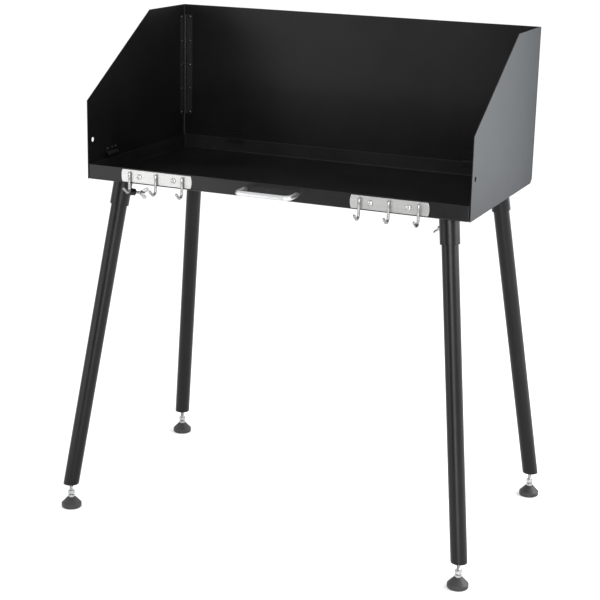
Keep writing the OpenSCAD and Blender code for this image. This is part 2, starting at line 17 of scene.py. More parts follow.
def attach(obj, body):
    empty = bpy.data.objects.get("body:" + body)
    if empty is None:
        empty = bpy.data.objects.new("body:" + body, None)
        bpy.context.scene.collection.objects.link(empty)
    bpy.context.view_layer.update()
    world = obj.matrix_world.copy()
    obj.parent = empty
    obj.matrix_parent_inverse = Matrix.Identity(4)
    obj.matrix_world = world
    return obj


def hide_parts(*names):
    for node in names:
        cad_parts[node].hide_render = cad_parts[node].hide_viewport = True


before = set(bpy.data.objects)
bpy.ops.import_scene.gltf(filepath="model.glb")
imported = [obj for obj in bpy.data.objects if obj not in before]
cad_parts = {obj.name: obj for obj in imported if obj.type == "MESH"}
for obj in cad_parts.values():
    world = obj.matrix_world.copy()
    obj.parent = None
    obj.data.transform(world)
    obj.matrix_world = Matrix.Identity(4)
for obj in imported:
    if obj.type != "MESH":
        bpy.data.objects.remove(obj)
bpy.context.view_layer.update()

LOG = logging.getLogger("cook_table")
MM = 0.001
QUARTER = math.pi / 2
Colour = tuple[float, float, float]
Spot = tuple[float, float, float]
Point = tuple[float, float]


class Named(Enum):
    """A choice whose name is part of the nodes' names."""

    @property
    def word(self) -> str:
        """The name in small letters."""
        return self.name.lower()


class Side(Named):
    """A side of the table, as the sign of X."""

    LEFT = -1
    RIGHT = 1

    @property
    def mirror(self) -> Matrix:
        """Turns a piece drawn for the right side into this side's."""
        return Matrix.Diagonal((self.value, 1, 1, 1))


class Corner(Named):
    """A corner of the table, as the signs of X and Y."""

    FRONT_LEFT = (-1, -1)
    FRONT_RIGHT = (1, -1)
    REAR_LEFT = (-1, 1)
    REAR_RIGHT = (1, 1)


def operator(operation: str, reflected: bool = False) -> Callable[["Value", "Term"], "Value"]:
    """Makes one operator of a value.

    Args:
        operation: The Math node's operation.
        reflected: Whether the value stands on the right.

    Returns:
        The operator's method.
    """

    def method(self: "Value", other: "Term") -> "Value":
        """Adds the operator's Math node."""
        return self.reckon(operation, *((other, self) if reflected else (self, other)))

    return method


class Value:
    """A socket of a node tree that takes part in sums as a number does."""

    __add__ = operator("ADD")
    __radd__ = operator("ADD", True)
    __sub__ = operator("SUBTRACT")
    __rsub__ = operator("SUBTRACT", True)
    __mul__ = operator("MULTIPLY")
    __rmul__ = operator("MULTIPLY", True)
    __truediv__ = operator("DIVIDE")
    __rtruediv__ = operator("DIVIDE", True)

    def __init__(self, graph: "Graph", socket: bpy.types.NodeSocket) -> None:
        """Wraps a socket of one of a graph's nodes."""
        self.graph = graph
        self.socket = socket

    def reckon(self, operation: str, *terms: "Term") -> "Value":
        """Adds one Math node and gives its result."""
        return self.graph.add("ShaderNodeMath", {"operation": operation}, dict(enumerate(terms)))

    def at_least(self, other: "Term") -> "Value":
        """The larger of two values."""
        return self.reckon("MAXIMUM", self, other)

    def folded(self, top: float) -> "Value":
        """Runs up to top and back down again, over and over."""
        return self.reckon("PINGPONG", self, top)

    def bearing(self, run: "Term") -> "Value":
        """Angle of the direction whose rise is this value."""
        return self.reckon("ARCTAN2", self, run)

    def band(self, low: float, high: float) -> "Value":
        """Rises smoothly from 0 at low to 1 at high."""
        inputs = {0: self, 1: low, 2: high, 3: 0.0, 4: 1.0}
        return self.graph.add("ShaderNodeMapRange", {"interpolation_type": "SMOOTHSTEP"}, inputs)


Term = Union[Value, float, int]
Feed = Union[Value, float, int, bool, str, tuple, list, bpy.types.ID]


class Graph:
    """A node tree under construction."""

    def __init__(self, tree: bpy.types.NodeTree) -> None:
        """Starts on the tree that gets the nodes."""
        self.tree = tree

    def feed(self, socket: bpy.types.NodeSocket, value: Feed) -> None:
        """Links a value to a socket, or sets the socket to a constant.

        Args:
            socket: The socket that takes the value.
            value: A wrapped socket, several of them, or a constant.
        """
        for part in value if isinstance(value, list) else [value]:
            if isinstance(part, Value):
                self.tree.links.new(part.socket, socket)
            elif socket.type == "RGBA" and len(part) == 3:
                socket.default_value = (*part, 1.0)
            else:
                socket.default_value = part

    def add(
        self,
        kind: str,
        settings: Mapping[str, object] | None = None,
        inputs: Mapping[str | int, Feed] | None = None,
        output: str | int = 0,
    ) -> Value:
        """Adds any node.

        Args:
            kind: The node's type.
            settings: The node's own settings, which are set first.
            inputs: Values or links of its sockets, by name or number.
            output: The socket that is returned.

        Returns:
            The chosen output.
        """
        node = self.tree.nodes.new(kind)
        for key, setting in (settings or {}).items():
            setattr(node, key, setting)
        for key, value in (inputs or {}).items():
            self.feed(node.inputs[key], value)
        return Value(self, node.outputs[output])


class ShaderGraph(Graph):
    """The nodes of one material, with one Principled shader."""

    def __init__(self, name: str) -> None:
        """Makes an empty material.

        Args:
            name: The material's name.
        """
        self.material = bpy.data.materials.new(name)
        self.material.use_nodes = True
        super().__init__(self.material.node_tree)
        self.tree.nodes.clear()
        self.place = self.add("ShaderNodeTexCoord", output="Object")

    def noise(self, scale: float, detail: float = 2.0, rough: float = 0.5, at: Value | None = None) -> Value:
        """Cloudy noise from 0 to 1, of so many lumps per metre, octaves and weight of the finer ones."""
        inputs = {"Vector": at or self.place, "Scale": scale, "Detail": detail, "Roughness": rough}
        return self.add("ShaderNodeTexNoise", {"noise_dimensions": "3D"}, inputs)

    def stretched(self, factors: Spot) -> Value:
        """The object's coordinates, each multiplied by a factor of its own."""
        inputs = {"Vector": self.place, "Scale": factors}
        return self.add("ShaderNodeMapping", {"vector_type": "POINT"}, inputs)

    def mix(self, share: Value, first: Value | Colour, second: Value | Colour) -> Value:
        """A colour between two others, at a share from 0 to 1."""
        inputs = {0: share, 6: first, 7: second}
        return self.add("ShaderNodeMix", {"data_type": "RGBA"}, inputs, output=2)

    def shine(self, finish: "Finish", inputs: Mapping[str, Feed], height: Value) -> bpy.types.Material:
        """Finishes the material with its shader and its fine relief.

        Args:
            finish: The finish, which gives the relief's depth and strength.
            inputs: Sockets of the Principled shader.
            height: Relief from 0 up.

        Returns:
            The finished material.
        """
        bump = {"Strength": finish.strength, "Distance": finish.depth, "Height": height}
        relief = self.add("ShaderNodeBump", {}, bump)
        shader = self.add("ShaderNodeBsdfPrincipled", {}, {**inputs, "Normal": relief})
        end = self.tree.nodes.new("ShaderNodeOutputMaterial")
        self.feed(end.inputs["Surface"], shader)
        return self.material


@dataclass(frozen=True)
class Finish:
    """A finish: its name, the record's slot that it stands for, its two tones, its gloss and its relief."""

    name: str
    slot: str
    dark: Colour
    light: Colour
    roughness: float
    depth: float
    strength: float

    def paint(self, graph: ShaderGraph) -> bpy.types.Material:
        """Builds the finish's nodes.

        Args:
            graph: The empty material.

        Returns:
            The finished material.
        """
        raise NotImplementedError

    def material(self) -> bpy.types.Material:
        """The finish's material, which is made once."""
        return bpy.data.materials.get(self.name) or self.paint(ShaderGraph(self.name))


@dataclass(frozen=True)
class PowderCoat(Finish):
    """Satin black powder coat with its fine orange peel."""

    name: str = "black_powder_coat"
    slot: str = "black_coat"
    dark: Colour = (0.0018, 0.0018, 0.0022)
    light: Colour = (0.0034, 0.0034, 0.0039)
    roughness: float = 0.34
    depth: float = 0.00012
    strength: float = 0.22
    index: float = 1.30
    cloud: float = 7.0
    wave: float = 130.0
    peel: float = 420.0
    grain: float = 1900.0

    def paint(self, graph: ShaderGraph) -> bpy.types.Material:
        """Clouds the tone a little and lays long waves, the peel and a finer grain over it.

        Args:
            graph: The empty material.

        Returns:
            The finished material.
        """
        cloud = graph.noise(self.cloud, 4.0, 0.6)
        peel = graph.noise(self.peel, 1.5)
        grain = graph.noise(self.grain, 1.0)
        inputs = {
            "Base Color": graph.mix(cloud.band(0.3, 0.7), self.dark, self.light),
            "Roughness": self.roughness + 0.10 * (cloud - 0.5) + 0.08 * (grain - 0.5),
            "IOR": self.index,
        }
        return graph.shine(self, inputs, 4.0 * graph.noise(self.wave) + 0.7 * peel + 0.3 * grain)


@dataclass(frozen=True)
class BrushedSteel(Finish):
    """Stainless steel, brushed along X."""

    name: str = "brushed_stainless"
    slot: str = "stainless"
    dark: Colour = (0.37, 0.37, 0.365)
    light: Colour = (0.445, 0.445, 0.44)
    roughness: float = 0.34
    depth: float = 0.00003
    strength: float = 0.35
    along: float = 16.0
    across: float = 1400.0
    cloud: float = 22.0

    def paint(self, graph: ShaderGraph) -> bpy.types.Material:
        """Draws long streaks that change tone and gloss together.

        Args:
            graph: The empty material.

        Returns:
            The finished material.
        """
        streak = graph.noise(1.0, 4.0, 0.6, graph.stretched((self.along, self.across, self.across)))
        inputs = {
            "Base Color": graph.mix(streak.band(0.25, 0.75), self.dark, self.light),
            "Metallic": 1.0,
            "Roughness": self.roughness + 0.12 * streak + 0.04 * graph.noise(self.cloud),
        }
        return graph.shine(self, inputs, streak)


@dataclass(frozen=True)
class BrightPlate(Finish):
    """Bright zinc or nickel plate with a faint bloom."""

    name: str = "bright_zinc"
    slot: str = "zinc"
    dark: Colour = (0.32, 0.325, 0.33)
    light: Colour = (0.52, 0.525, 0.53)
    roughness: float = 0.16
    depth: float = 0.00003
    strength: float = 0.3
    bloom: float = 160.0
    bloom_fine: float = 1920.0

    def paint(self, graph: ShaderGraph) -> bpy.types.Material:
        """Mottles tone and gloss with two sizes of bloom.

        Args:
            graph: The empty material.

        Returns:
            The finished material.
        """
        bloom = graph.noise(self.bloom, 3.0, 0.6)
        fine = graph.noise(self.bloom_fine, 1.0)
        inputs = {
            "Base Color": graph.mix(bloom.band(0.3, 0.7), self.dark, self.light),
            "Metallic": 1.0,
            "Roughness": self.roughness + 0.18 * bloom + 0.05 * fine,
        }
        return graph.shine(self, inputs, 0.5 * bloom + 0.5 * fine)


@dataclass(frozen=True)
class MouldedPlastic(Finish):
    """Black moulded plastic with a fine spark texture."""

    name: str = "moulded_plastic"
    slot: str = "foot_plastic"
    dark: Colour = (0.009, 0.009, 0.0095)
    light: Colour = (0.017, 0.017, 0.0175)
    roughness: float = 0.44
    depth: float = 0.0001
    strength: float = 0.3
    index: float = 1.48
    spark: float = 1600.0
    cloud: float = 90.0

    def paint(self, graph: ShaderGraph) -> bpy.types.Material:
        """Mottles the tone and roughens the skin.

        Args:
            graph: The empty material.

        Returns:
            The finished material.
        """
        spark = graph.noise(self.spark)
        inputs = {
            "Base Color": graph.mix(graph.noise(self.cloud, 3.0), self.dark, self.light),
            "Roughness": self.roughness + 0.14 * spark,
            "IOR": self.index,
        }
        return graph.shine(self, inputs, spark)


@dataclass(frozen=True)
class FloorPaint(Finish):
    """Matt studio paint."""

    name: str = "studio_floor"
    slot: str = ""
    dark: Colour = (0.93, 0.93, 0.93)
    light: Colour = (0.95, 0.95, 0.95)
    roughness: float = 0.9
    depth: float = 0.0001
    strength: float = 0.05
    index: float = 1.3
    cloud: float = 0.8

    def paint(self, graph: ShaderGraph) -> bpy.types.Material:
        """Lays a barely visible mottle on a matt ground.

        Args:
            graph: The empty material.

        Returns:
            The finished material.
        """
        cloud = graph.noise(self.cloud, 3.0)
        tone = graph.mix(cloud, self.dark, self.light)
        inputs = {"Base Color": tone, "Roughness": self.roughness, "IOR": self.index}
        return graph.shine(self, inputs, cloud)


def grey(level: float) -> Colour:
    """A colour without a hue."""
    return level, level, level


BLACK = PowderCoat()
# Painted light: the tray gets the black coat in a lighter tone than the panels, which lifts its dark floor
# and lip.
TRAY_COAT_PAINTED_LIGHT = PowderCoat("tray_powder_coat_painted_light", dark=(0.0035, 0.0035, 0.0037), light=(0.0065, 0.0065, 0.0068))
# Painted light: the hinge leaves get the black coat in a lighter tone than the panels, so that they stand out
# lighter.
LEAF_COAT_PAINTED_LIGHT = PowderCoat("leaf_powder_coat_painted_light", dark=(0.0105, 0.0105, 0.011), light=(0.0135, 0.0135, 0.014))
RIVET = PowderCoat("blackened_rivet", "rivet_steel", grey(0.004), grey(0.009), 0.20, index=1.55)
STAINLESS = BrushedSteel()
# Painted shade: the hooks get the rails' stainless steel in a much darker tone, so that they read as shaded
# against the bright rails.
POLISHED_PAINTED_SHADE = BrushedSteel("polished_bar_painted_shade", "stainless", grey(0.20), grey(0.30), 0.16, along=40.0, across=900.0)
SATIN = BrushedSteel(
    "satin_handle", "zinc", (0.46, 0.465, 0.47), (0.70, 0.70, 0.71), 0.30, along=14.0, across=700.0
)
ZINC = BrightPlate()
PLASTIC = MouldedPlastic()
FLOOR = FloorPaint()
# The dark cards' matt grey: painted shade that only reflections see.
CARD = FloorPaint("dark_card", dark=grey(0.10), light=grey(0.12))


def shown(name: str, data: bpy.types.ID) -> bpy.types.Object:
    """Puts a new object into the scene.

    Args:
        name: Its name.
        data: Its mesh, light or camera.

    Returns:
        The object, at the origin.
    """
    thing = bpy.data.objects.new(name, data)
    bpy.context.scene.collection.objects.link(thing)
    return thing


def as_mesh(carrier: bpy.types.Object, name: str) -> bpy.types.Mesh:
    """Takes an object's mesh with its modifiers applied, and removes the object and its old mesh.

    Args:
        carrier: The object.
        name: The new mesh's name.

    Returns:
        The plain mesh.
    """
    bpy.context.view_layer.update()
    graph = bpy.context.evaluated_depsgraph_get()
    mesh = bpy.data.meshes.new_from_object(carrier.evaluated_get(graph))
    mesh.name = name
    base = carrier.data
    carrier.modifiers.clear()
    bpy.data.objects.remove(carrier)
    bpy.data.meshes.remove(base)
    return mesh


def smoothed(mesh: bpy.types.Mesh, angle: float = 35.0) -> bpy.types.Mesh:
    """Shades a mesh smooth between its sharp edges.

    Args:
        mesh: The mesh.
        angle: Edges that turn more than this many degrees are sharp.

    Returns:
        The same mesh.
    """
    mesh.shade_smooth()
    mesh.set_sharp_from_angle(angle=math.radians(angle))
    return mesh


def put(mesh: bpy.types.Mesh, matrix: Matrix) -> bpy.types.Mesh:
    """Moves a mesh and keeps its faces outwards where it is mirrored.

    Args:
        mesh: The mesh, in metres.
        matrix: The move, whose travel is in millimetres.

    Returns:
        The same mesh.
    """
    mesh.transform(Matrix.Translation(matrix.translation * MM) @ matrix.to_3x3().to_4x4())
    if matrix.determinant() < 0:
        mesh.flip_normals()
    return mesh


def merged(name: str, meshes: Sequence[bpy.types.Mesh]) -> bpy.types.Mesh:
    """Joins meshes into one, which keeps their sharp edges.

    Args:
        name: The new mesh's name.
        meshes: The meshes, which are used up.

    Returns:
        The new mesh.
    """
    cage = bmesh.new()
    for mesh in meshes:
        cage.from_mesh(mesh)
    whole = bpy.data.meshes.new(name)
    cage.to_mesh(whole)
    cage.free()
    for mesh in meshes:
        bpy.data.meshes.remove(mesh)
    return whole


def place(name: str, mesh: bpy.types.Mesh, body: str, finish: Finish, *nodes: str) -> None:
    """Puts a finished mesh into the scene on its body.

    Args:
        name: The piece's name.
        mesh: Its mesh, in metres, where it belongs.
        body: The body that it moves with.
        finish: Its finish.
        nodes: CAD nodes that it stands for.
    """
    piece = shown(name, mesh)
    mesh.materials.clear()
    mesh.materials.append(finish.material())
    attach(piece, body)
    if nodes:
        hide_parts(*nodes)
    LOG.info("%s on %s: %d faces, %s", name, body, len(mesh.polygons), finish.name)


class Recipe(Graph):
    """A Geometry Nodes tree with named sizes, laid out for its piece."""

    title: str = "recipe"
    dome_steps: int = 32
    dome_rings: int = 20
    edge_steps: int = 2
    edge_angle: float = 50.0

    def __init__(self) -> None:
        """Makes the tree, with a slot for the finish."""
        tree = bpy.data.node_groups.new(self.title, "GeometryNodeTree")
        super().__init__(tree)
        for way in ("INPUT", "OUTPUT"):
            tree.interface.new_socket("Geometry", in_out=way, socket_type="NodeSocketGeometry")
        self.start = tree.nodes.new("NodeGroupInput")
        self.identifiers: dict[str, str] = {}
        whole = self.add("GeometryNodeRealizeInstances", {}, {"Geometry": self.lay_out()})
        finish = self.size("Finish", "NodeSocketMaterial")
        dressed = self.add("GeometryNodeSetMaterial", {}, {"Geometry": whole, "Material": finish})
        end = tree.nodes.new("NodeGroupOutput")
        self.feed(end.inputs["Geometry"], dressed)

    def lay_out(self) -> Value:
        """Builds the piece's nodes.

        Returns:
            The geometry, which may hold instances.
        """
        raise NotImplementedError

    def size(self, name: str, kind: str = "NodeSocketFloat") -> Value:
        """Adds a named input.

        Args:
            name: The input's name.
            kind: Its socket type.

        Returns:
            The input's value.
        """
        item = self.tree.interface.new_socket(name, in_out="INPUT", socket_type=kind)
        self.identifiers[name] = item.identifier
        return Value(self, next(s for s in self.start.outputs if s.identifier == item.identifier))

    def sizes(self, *names: str) -> list[Value]:
        """Adds several named inputs."""
        return [self.size(name) for name in names]

    def vector(self, x: Term, y: Term, z: Term) -> Value:
        """A vector from its three parts."""
        return self.add("ShaderNodeCombineXYZ", {}, {0: x, 1: y, 2: z})

    def position(self) -> list[Value]:
        """The three parts of each point's place."""
        split = self.add("ShaderNodeSeparateXYZ", {}, {0: self.add("GeometryNodeInputPosition")})
        return [Value(self, output) for output in split.socket.node.outputs]

    def block(self, size: Value, centre: Value) -> Value:
        """A box of a size, about a centre."""
        cube = self.add("GeometryNodeMeshCube", {}, {"Size": size})
        return self.add("GeometryNodeTransform", {}, {"Geometry": cube, "Translation": centre})

    def ball(self, steps: int, rings: int, radius: Term) -> Value:
        """A ball about the origin."""
        inputs = {"Segments": steps, "Rings": rings, "Radius": radius}
        return self.add("GeometryNodeMeshUVSphere", {}, inputs)

    def joined(self, *shapes: Value) -> Value:
        """Several geometries as one."""
        return self.add("GeometryNodeJoinGeometry", {}, {"Geometry": list(shapes)})

    def moved(self, shape: Value, spot: Value) -> Value:
        """A shape with each point at a new place."""
        return self.add("GeometryNodeSetPosition", {}, {"Geometry": shape, "Position": spot})

    def dome(self, radius: Value, height: Value) -> Value:
        """A low dome that stands on Z = 0 and has a flat underside.

        Args:
            radius: Its radius.
            height: Its height.

        Returns:
            The dome.
        """
        x, y, z = self.position()
        spot = self.vector(x * radius, y * radius, z.at_least(0.0) * height)
        return self.moved(self.ball(self.dome_steps, self.dome_rings, 1.0), spot)

    def repeated(self, shape: Value, points: Value | None = None) -> Value:
        """A shape on each of the given points, or on those that the tree is used on."""
        points = points or Value(self, self.start.outputs["Geometry"])
        return self.add("GeometryNodeInstanceOnPoints", {}, {"Points": points, "Instance": shape})

    def make(
        self,
        finish: Finish,
        lengths: Mapping[str, float],
        points: Iterable[Sequence[float]] = ((0, 0, 0),),
        shares: Mapping[str, float] | None = None,
        rounding: float = 0.0,
    ) -> bpy.types.Mesh:
        """Turns the tree into a plain mesh.

        Args:
            finish: The finish that the piece gets.
            lengths: Values of the named sizes, in millimetres.
            points: Places, in millimetres, that the piece is repeated on.
            shares: Values of the named counts, angles and ratios.
            rounding: Radius of the edges, in millimetres.

        Returns:
            The mesh, in metres.
        """
        base = bpy.data.meshes.new(self.title)
        base.from_pydata([Vector(p) * MM for p in points], [], [])
        carrier = shown(self.title, base)
        modifier = carrier.modifiers.new(self.title, "NODES")
        modifier.node_group = self.tree
        values = {name: length * MM for name, length in lengths.items()}
        for name, value in {**values, **(shares or {}), "Finish": finish.material()}.items():
            modifier[self.identifiers[name]] = value
        if rounding:
            edge = carrier.modifiers.new("edges", "BEVEL")
            edge.width = rounding * MM
            edge.segments = self.edge_steps
            edge.limit_method = "ANGLE"
            edge.angle_limit = math.radians(self.edge_angle)
        return smoothed(as_mesh(carrier, self.title))


class RivetRow(Recipe):
    """Domed rivet heads on a row of points."""

    title: str = "rivet_row"
    collar_width: float = 1.12
    collar_height: float = 0.28

    def lay_out(self) -> Value:
        """One head, with the collar that the riveting set leaves round it, repeated.

        Returns:
            The heads.
        """
        radius, height = self.sizes("Radius", "Height")
        collar = self.dome(self.collar_width * radius, self.collar_height * height)
        return self.repeated(self.joined(self.dome(radius, height), collar))


class CrossScrews(Recipe):
    """Domed screw heads with a cross recess."""

    title: str = "cross_screws"

    def lay_out(self) -> Value:
        """A dome, less two crossed bars, repeated.

        Returns:
            The heads.
        """
        radius, height, slot, reach, depth = self.sizes("Radius", "Height", "Slot", "Reach", "Depth")
        middle = self.vector(0.0, 0.0, height)
        bars = [
            self.block(self.vector(slot, reach, 2.0 * depth), middle),
            self.block(self.vector(reach, slot, 2.0 * depth), middle),
        ]
        head = self.add(
            "GeometryNodeMeshBoolean",
            {"operation": "DIFFERENCE", "solver": "EXACT"},
            {"Mesh 1": self.dome(radius, height), "Mesh 2": bars},
        )
        return self.repeated(head)


class Thread(Recipe):
    """A rolled screw thread along +Z from each point."""

    title: str = "thread"
    steps: int = 28
    rows: float = 8.0

    def lay_out(self) -> Value:
        """A bar whose skin is pushed in along a helix.

        Returns:
            The threaded bars.
        """
        radius, depth, pitch, length = self.sizes("Radius", "Depth", "Pitch", "Length")
        bar = self.add(
            "GeometryNodeMeshCylinder",
            {"fill_type": "NGON"},
            {
                "Vertices": self.steps,
                "Side Segments": length / pitch * self.rows,
                "Radius": radius,
                "Depth": length,
            },
        )
        x, y, z = self.position()
        turn = y.bearing(x) / (2.0 * math.pi)
        crest = 2.0 * (z / pitch - turn).folded(0.5)
        shrink = 1.0 - depth / radius * (1.0 - crest)
        spot = self.vector(x * shrink, y * shrink, z + length / 2.0)
        return self.repeated(self.moved(bar, spot))


class WeldBead(Recipe):
    """A weld laid as a row of overlapping drops."""

    title: str = "weld_bead"
    steps: int = 12
    rings: int = 8

    def lay_out(self) -> Value:
        """One flattened drop on each point.

        Returns:
            The drops.
        """
        radius, flat = self.sizes("Radius", "Flatness")
        scale = self.vector(1.0, 1.0, flat)
        inputs = {"Geometry": self.ball(self.steps, self.rings, radius), "Scale": scale}
        return self.repeated(self.add("GeometryNodeTransform", {}, inputs))


class HingeLeaf(Recipe):
    """A piano hinge leaf about the pin's axis, plate along -Y, mounting face towards +X."""

    title: str = "hinge_leaf"
    bend_steps: int = 30

    def lay_out(self) -> Value:
        """A plate, and rolled knuckles at every second place of the pin.

        Returns:
            The leaf.
        """
        plate, offset, width, curl = self.sizes("Sheet", "Face offset", "Width", "Curl radius")
        length, knuckle, step, clear = self.sizes("Length", "Knuckle length", "Step", "Clearance")
        first, sweep = self.sizes("First knuckle", "Sweep")
        knuckles = self.size("Knuckles", "NodeSocketInt")
        rim = curl + 0.5 * plate
        level = offset - 0.5 * plate
        broad = width - rim - clear
        strip = self.block(
            self.vector(plate, broad, length),
            self.vector(level, -1.0 * width + 0.5 * broad, 0.5 * length),
        )
        bend = self.add(
            "GeometryNodeCurveArc",
            {"mode": "RADIUS"},
            {"Resolution": self.bend_steps, "Radius": curl, "Start Angle": 0.0, "Sweep Angle": sweep},
        )
        upright = self.add("GeometryNodeSetCurveNormal", {"mode": "Z_UP"}, {"Curve": bend})
        section = self.add(
            "GeometryNodeCurvePrimitiveQuadrilateral",
            {"mode": "RECTANGLE"},
            {"Width": plate, "Height": knuckle},
        )
        skin = {"Curve": upright, "Profile Curve": section, "Fill Caps": True}
        roll = self.add("GeometryNodeCurveToMesh", {}, skin)
        neck = self.block(
            self.vector(plate, rim + 2.0 * clear, knuckle),
            self.vector(level, -0.5 * (rim + 2.0 * clear), 0.0),
        )
        row = self.add(
            "GeometryNodeMeshLine",
            {"mode": "OFFSET"},
            {
                "Count": knuckles,
                "Start Location": self.vector(0.0, 0.0, first * step + 0.5 * knuckle),
                "Offset": self.vector(0.0, 0.0, 2.0 * step),
            },
        )
        return self.joined(strip, self.repeated(self.joined(roll, neck), row))


@dataclass(frozen=True)
class Kit:
    """The Geometry Nodes recipes that several sub-assemblies use."""

    rivets: RivetRow = field(default_factory=RivetRow)
    screws: CrossScrews = field(default_factory=CrossScrews)
    thread: Thread = field(default_factory=Thread)
    weld: WeldBead = field(default_factory=WeldBead)
    leaf: HingeLeaf = field(default_factory=HingeLeaf)


def around(steps: int) -> list[Point]:
    """Evenly spaced points of a circle of radius 1."""
    angles = [2 * math.pi * k / steps for k in range(steps)]
    return [(math.cos(a), math.sin(a)) for a in angles]


def circle(radius: float, centre: Point = (0.0, 0.0), steps: int = 40) -> list[Point]:
    """Points of a circle about a centre."""
    return [(centre[0] + radius * c, centre[1] + radius * s) for c, s in around(steps)]


def arc(centre: Point, radius: float, start: float, stop: float, steps: int = 8) -> list[Point]:
    """Points of an arc from one angle to another, in degrees."""
    angles = [math.radians(start + (stop - start) * k / steps) for k in range(steps + 1)]
    return [(centre[0] + radius * math.cos(a), centre[1] + radius * math.sin(a)) for a in angles]


def rounded_box(half_x: float, half_y: float, radius: float, height: float, steps: int = 4) -> list[Vector]:
    """A level ring: a rectangle with round corners.

    Args:
        half_x: Half its size along X.
        half_y: Half its size along Y.
        radius: Radius of its corners.
        height: Its height.
        steps: Edges in each corner.

    Returns:
        The ring's points.
    """
    points: list[Point] = []
    for x, y, start in ((1, 1, 0), (-1, 1, 90), (-1, -1, 180), (1, -1, 270)):
        centre = (x * (half_x - radius), y * (half_y - radius))
        points += arc(centre, radius, start, start + 90, steps)
    return [Vector((x, y, height)) for x, y in points]


def turn_of(*rows: Sequence[float]) -> Matrix:
    """A turn, or a mirrored one, from its three rows."""
    return Matrix(rows).to_4x4()


class Solid:
    """A closed shape in millimetres, built up from turned, swept, lofted and cut parts."""

    bevel_from: float = math.radians(25)
    bevel_steps: int = 3
    level_from: float = 0.9999

    def __init__(self) -> None:
        """Starts empty."""
        self.cage = bmesh.new()

    def loft(self, rings: Sequence[Sequence[Vector]], closed: bool = False) -> "Solid":
        """Skins a row of rings that all have the same number of points.

        Args:
            rings: The rings, from one end to the other.
            closed: Whether the last ring joins the first, so that there are no ends to close.

        Returns:
            This solid.
        """
        rows = [[self.cage.verts.new(p) for p in ring] for ring in rings]
        size = len(rows[0])
        spans = len(rows) if closed else len(rows) - 1
        for i in range(spans):
            low, high = rows[i], rows[(i + 1) % len(rows)]
            for k in range(size):
                self.cage.faces.new((low[k], low[(k + 1) % size], high[(k + 1) % size], high[k]))
        if not closed:
            self.cage.faces.new(rows[0][::-1])
            self.cage.faces.new(rows[-1])
        return self

    def turned(self, profile: Sequence[Point], steps: int = 48, closed: bool = False) -> "Solid":
        """Turns a profile of radius and height about Z, which is a loop where the solid is a tube."""
        ring = around(steps)
        return self.loft([[Vector((r * c, r * s, z)) for c, s in ring] for r, z in profile], closed)

    def swept(
        self, path: Sequence[Vector], radii: Sequence[float], normal: Vector, steps: int = 28
    ) -> "Solid":
        """Sweeps a round bar along a flat path.

        Args:
            path: Points of the bar's middle.
            radii: The bar's radius at each point.
            normal: Direction square to the path's plane.
            steps: Points round the bar.

        Returns:
            This solid.
        """
        rings = []
        for i, spot in enumerate(path):
            ahead = path[min(i + 1, len(path) - 1)] - path[max(i - 1, 0)]
            side = normal.cross(ahead.normalized())
            rings.append([spot + radii[i] * (c * side + s * normal) for c, s in around(steps)])
        return self.loft(rings)

    def plate(
        self,
        outline: Sequence[Point],
        thickness: float,
        holes: Sequence[Sequence[Point]] = (),
        rim: float = 0.3,
    ) -> "Solid":
        """Cuts a plate in the XY plane, from Z = 0 up, with rounded edges and flat faces.

        Args:
            outline: The plate's corners in turn.
            thickness: The plate's thickness.
            holes: Outlines of holes.
            rim: Radius of the edges.

        Returns:
            This solid.
        """
        sheet = bmesh.new()
        edges = []
        for loop in [outline, *holes]:
            verts = [sheet.verts.new((x, y, 0)) for x, y in loop]
            edges += [sheet.edges.new(pair) for pair in zip(verts, verts[1:] + verts[:1])]
        bmesh.ops.triangle_fill(sheet, edges=edges, use_beauty=True)
        grown = bmesh.ops.extrude_face_region(sheet, geom=sheet.faces[:])
        verts = [e for e in grown["geom"] if isinstance(e, bmesh.types.BMVert)]
        bmesh.ops.translate(sheet, verts=verts, vec=(0, 0, thickness))
        bmesh.ops.recalc_face_normals(sheet, faces=sheet.faces[:])
        pairs = [e for e in sheet.edges if len(e.link_faces) == 2]
        sharp = [e for e in pairs if e.calc_face_angle() > self.bevel_from]
        bmesh.ops.bevel(
            sheet, geom=sharp, offset=rim, segments=self.bevel_steps, profile=0.5, affect="EDGES"
        )
        sheet.normal_update()
        flat = [f for f in sheet.faces if abs(f.normal.z) > self.level_from]
        bmesh.ops.inset_region(sheet, faces=flat, thickness=rim, use_even_offset=True)
        return self.take(sheet)

    def take(self, other: bmesh.types.BMesh) -> "Solid":
        """Adds the faces of another cage.

        Args:
            other: The cage, which is used up.

        Returns:
            This solid.
        """
        spare = bpy.data.meshes.new("spare")
        other.to_mesh(spare)
        other.free()
        self.cage.from_mesh(spare)
        bpy.data.meshes.remove(spare)
        return self

    def add(self, other: "Solid") -> "Solid":
        """Adds another solid, which is used up."""
        return self.take(other.cage)

    def moved(self, matrix: Matrix) -> "Solid":
        """Moves the whole solid."""
        bmesh.ops.transform(self.cage, matrix=matrix, verts=self.cage.verts[:])
        return self

    def bent(self, rule: Callable[[Vector], Vector]) -> "Solid":
        """Moves each point by a rule.

        Args:
            rule: Gives a point's new place.

        Returns:
            This solid.
        """
        for vert in self.cage.verts:
            vert.co = rule(vert.co.copy())
        return self

    def mesh(self, name: str, angle: float = 35.0) -> bpy.types.Mesh:
        """Finishes the solid as a mesh in metres.

        Args:
            name: The mesh's name.
            angle: Edges that turn more than this many degrees stay sharp.

        Returns:
            The mesh.
        """
        bmesh.ops.recalc_face_normals(self.cage, faces=self.cage.faces[:])
        bmesh.ops.scale(self.cage, vec=(MM, MM, MM), verts=self.cage.verts[:])
        mesh = bpy.data.meshes.new(name)
        self.cage.to_mesh(mesh)
        self.cage.free()
        return smoothed(mesh, angle)


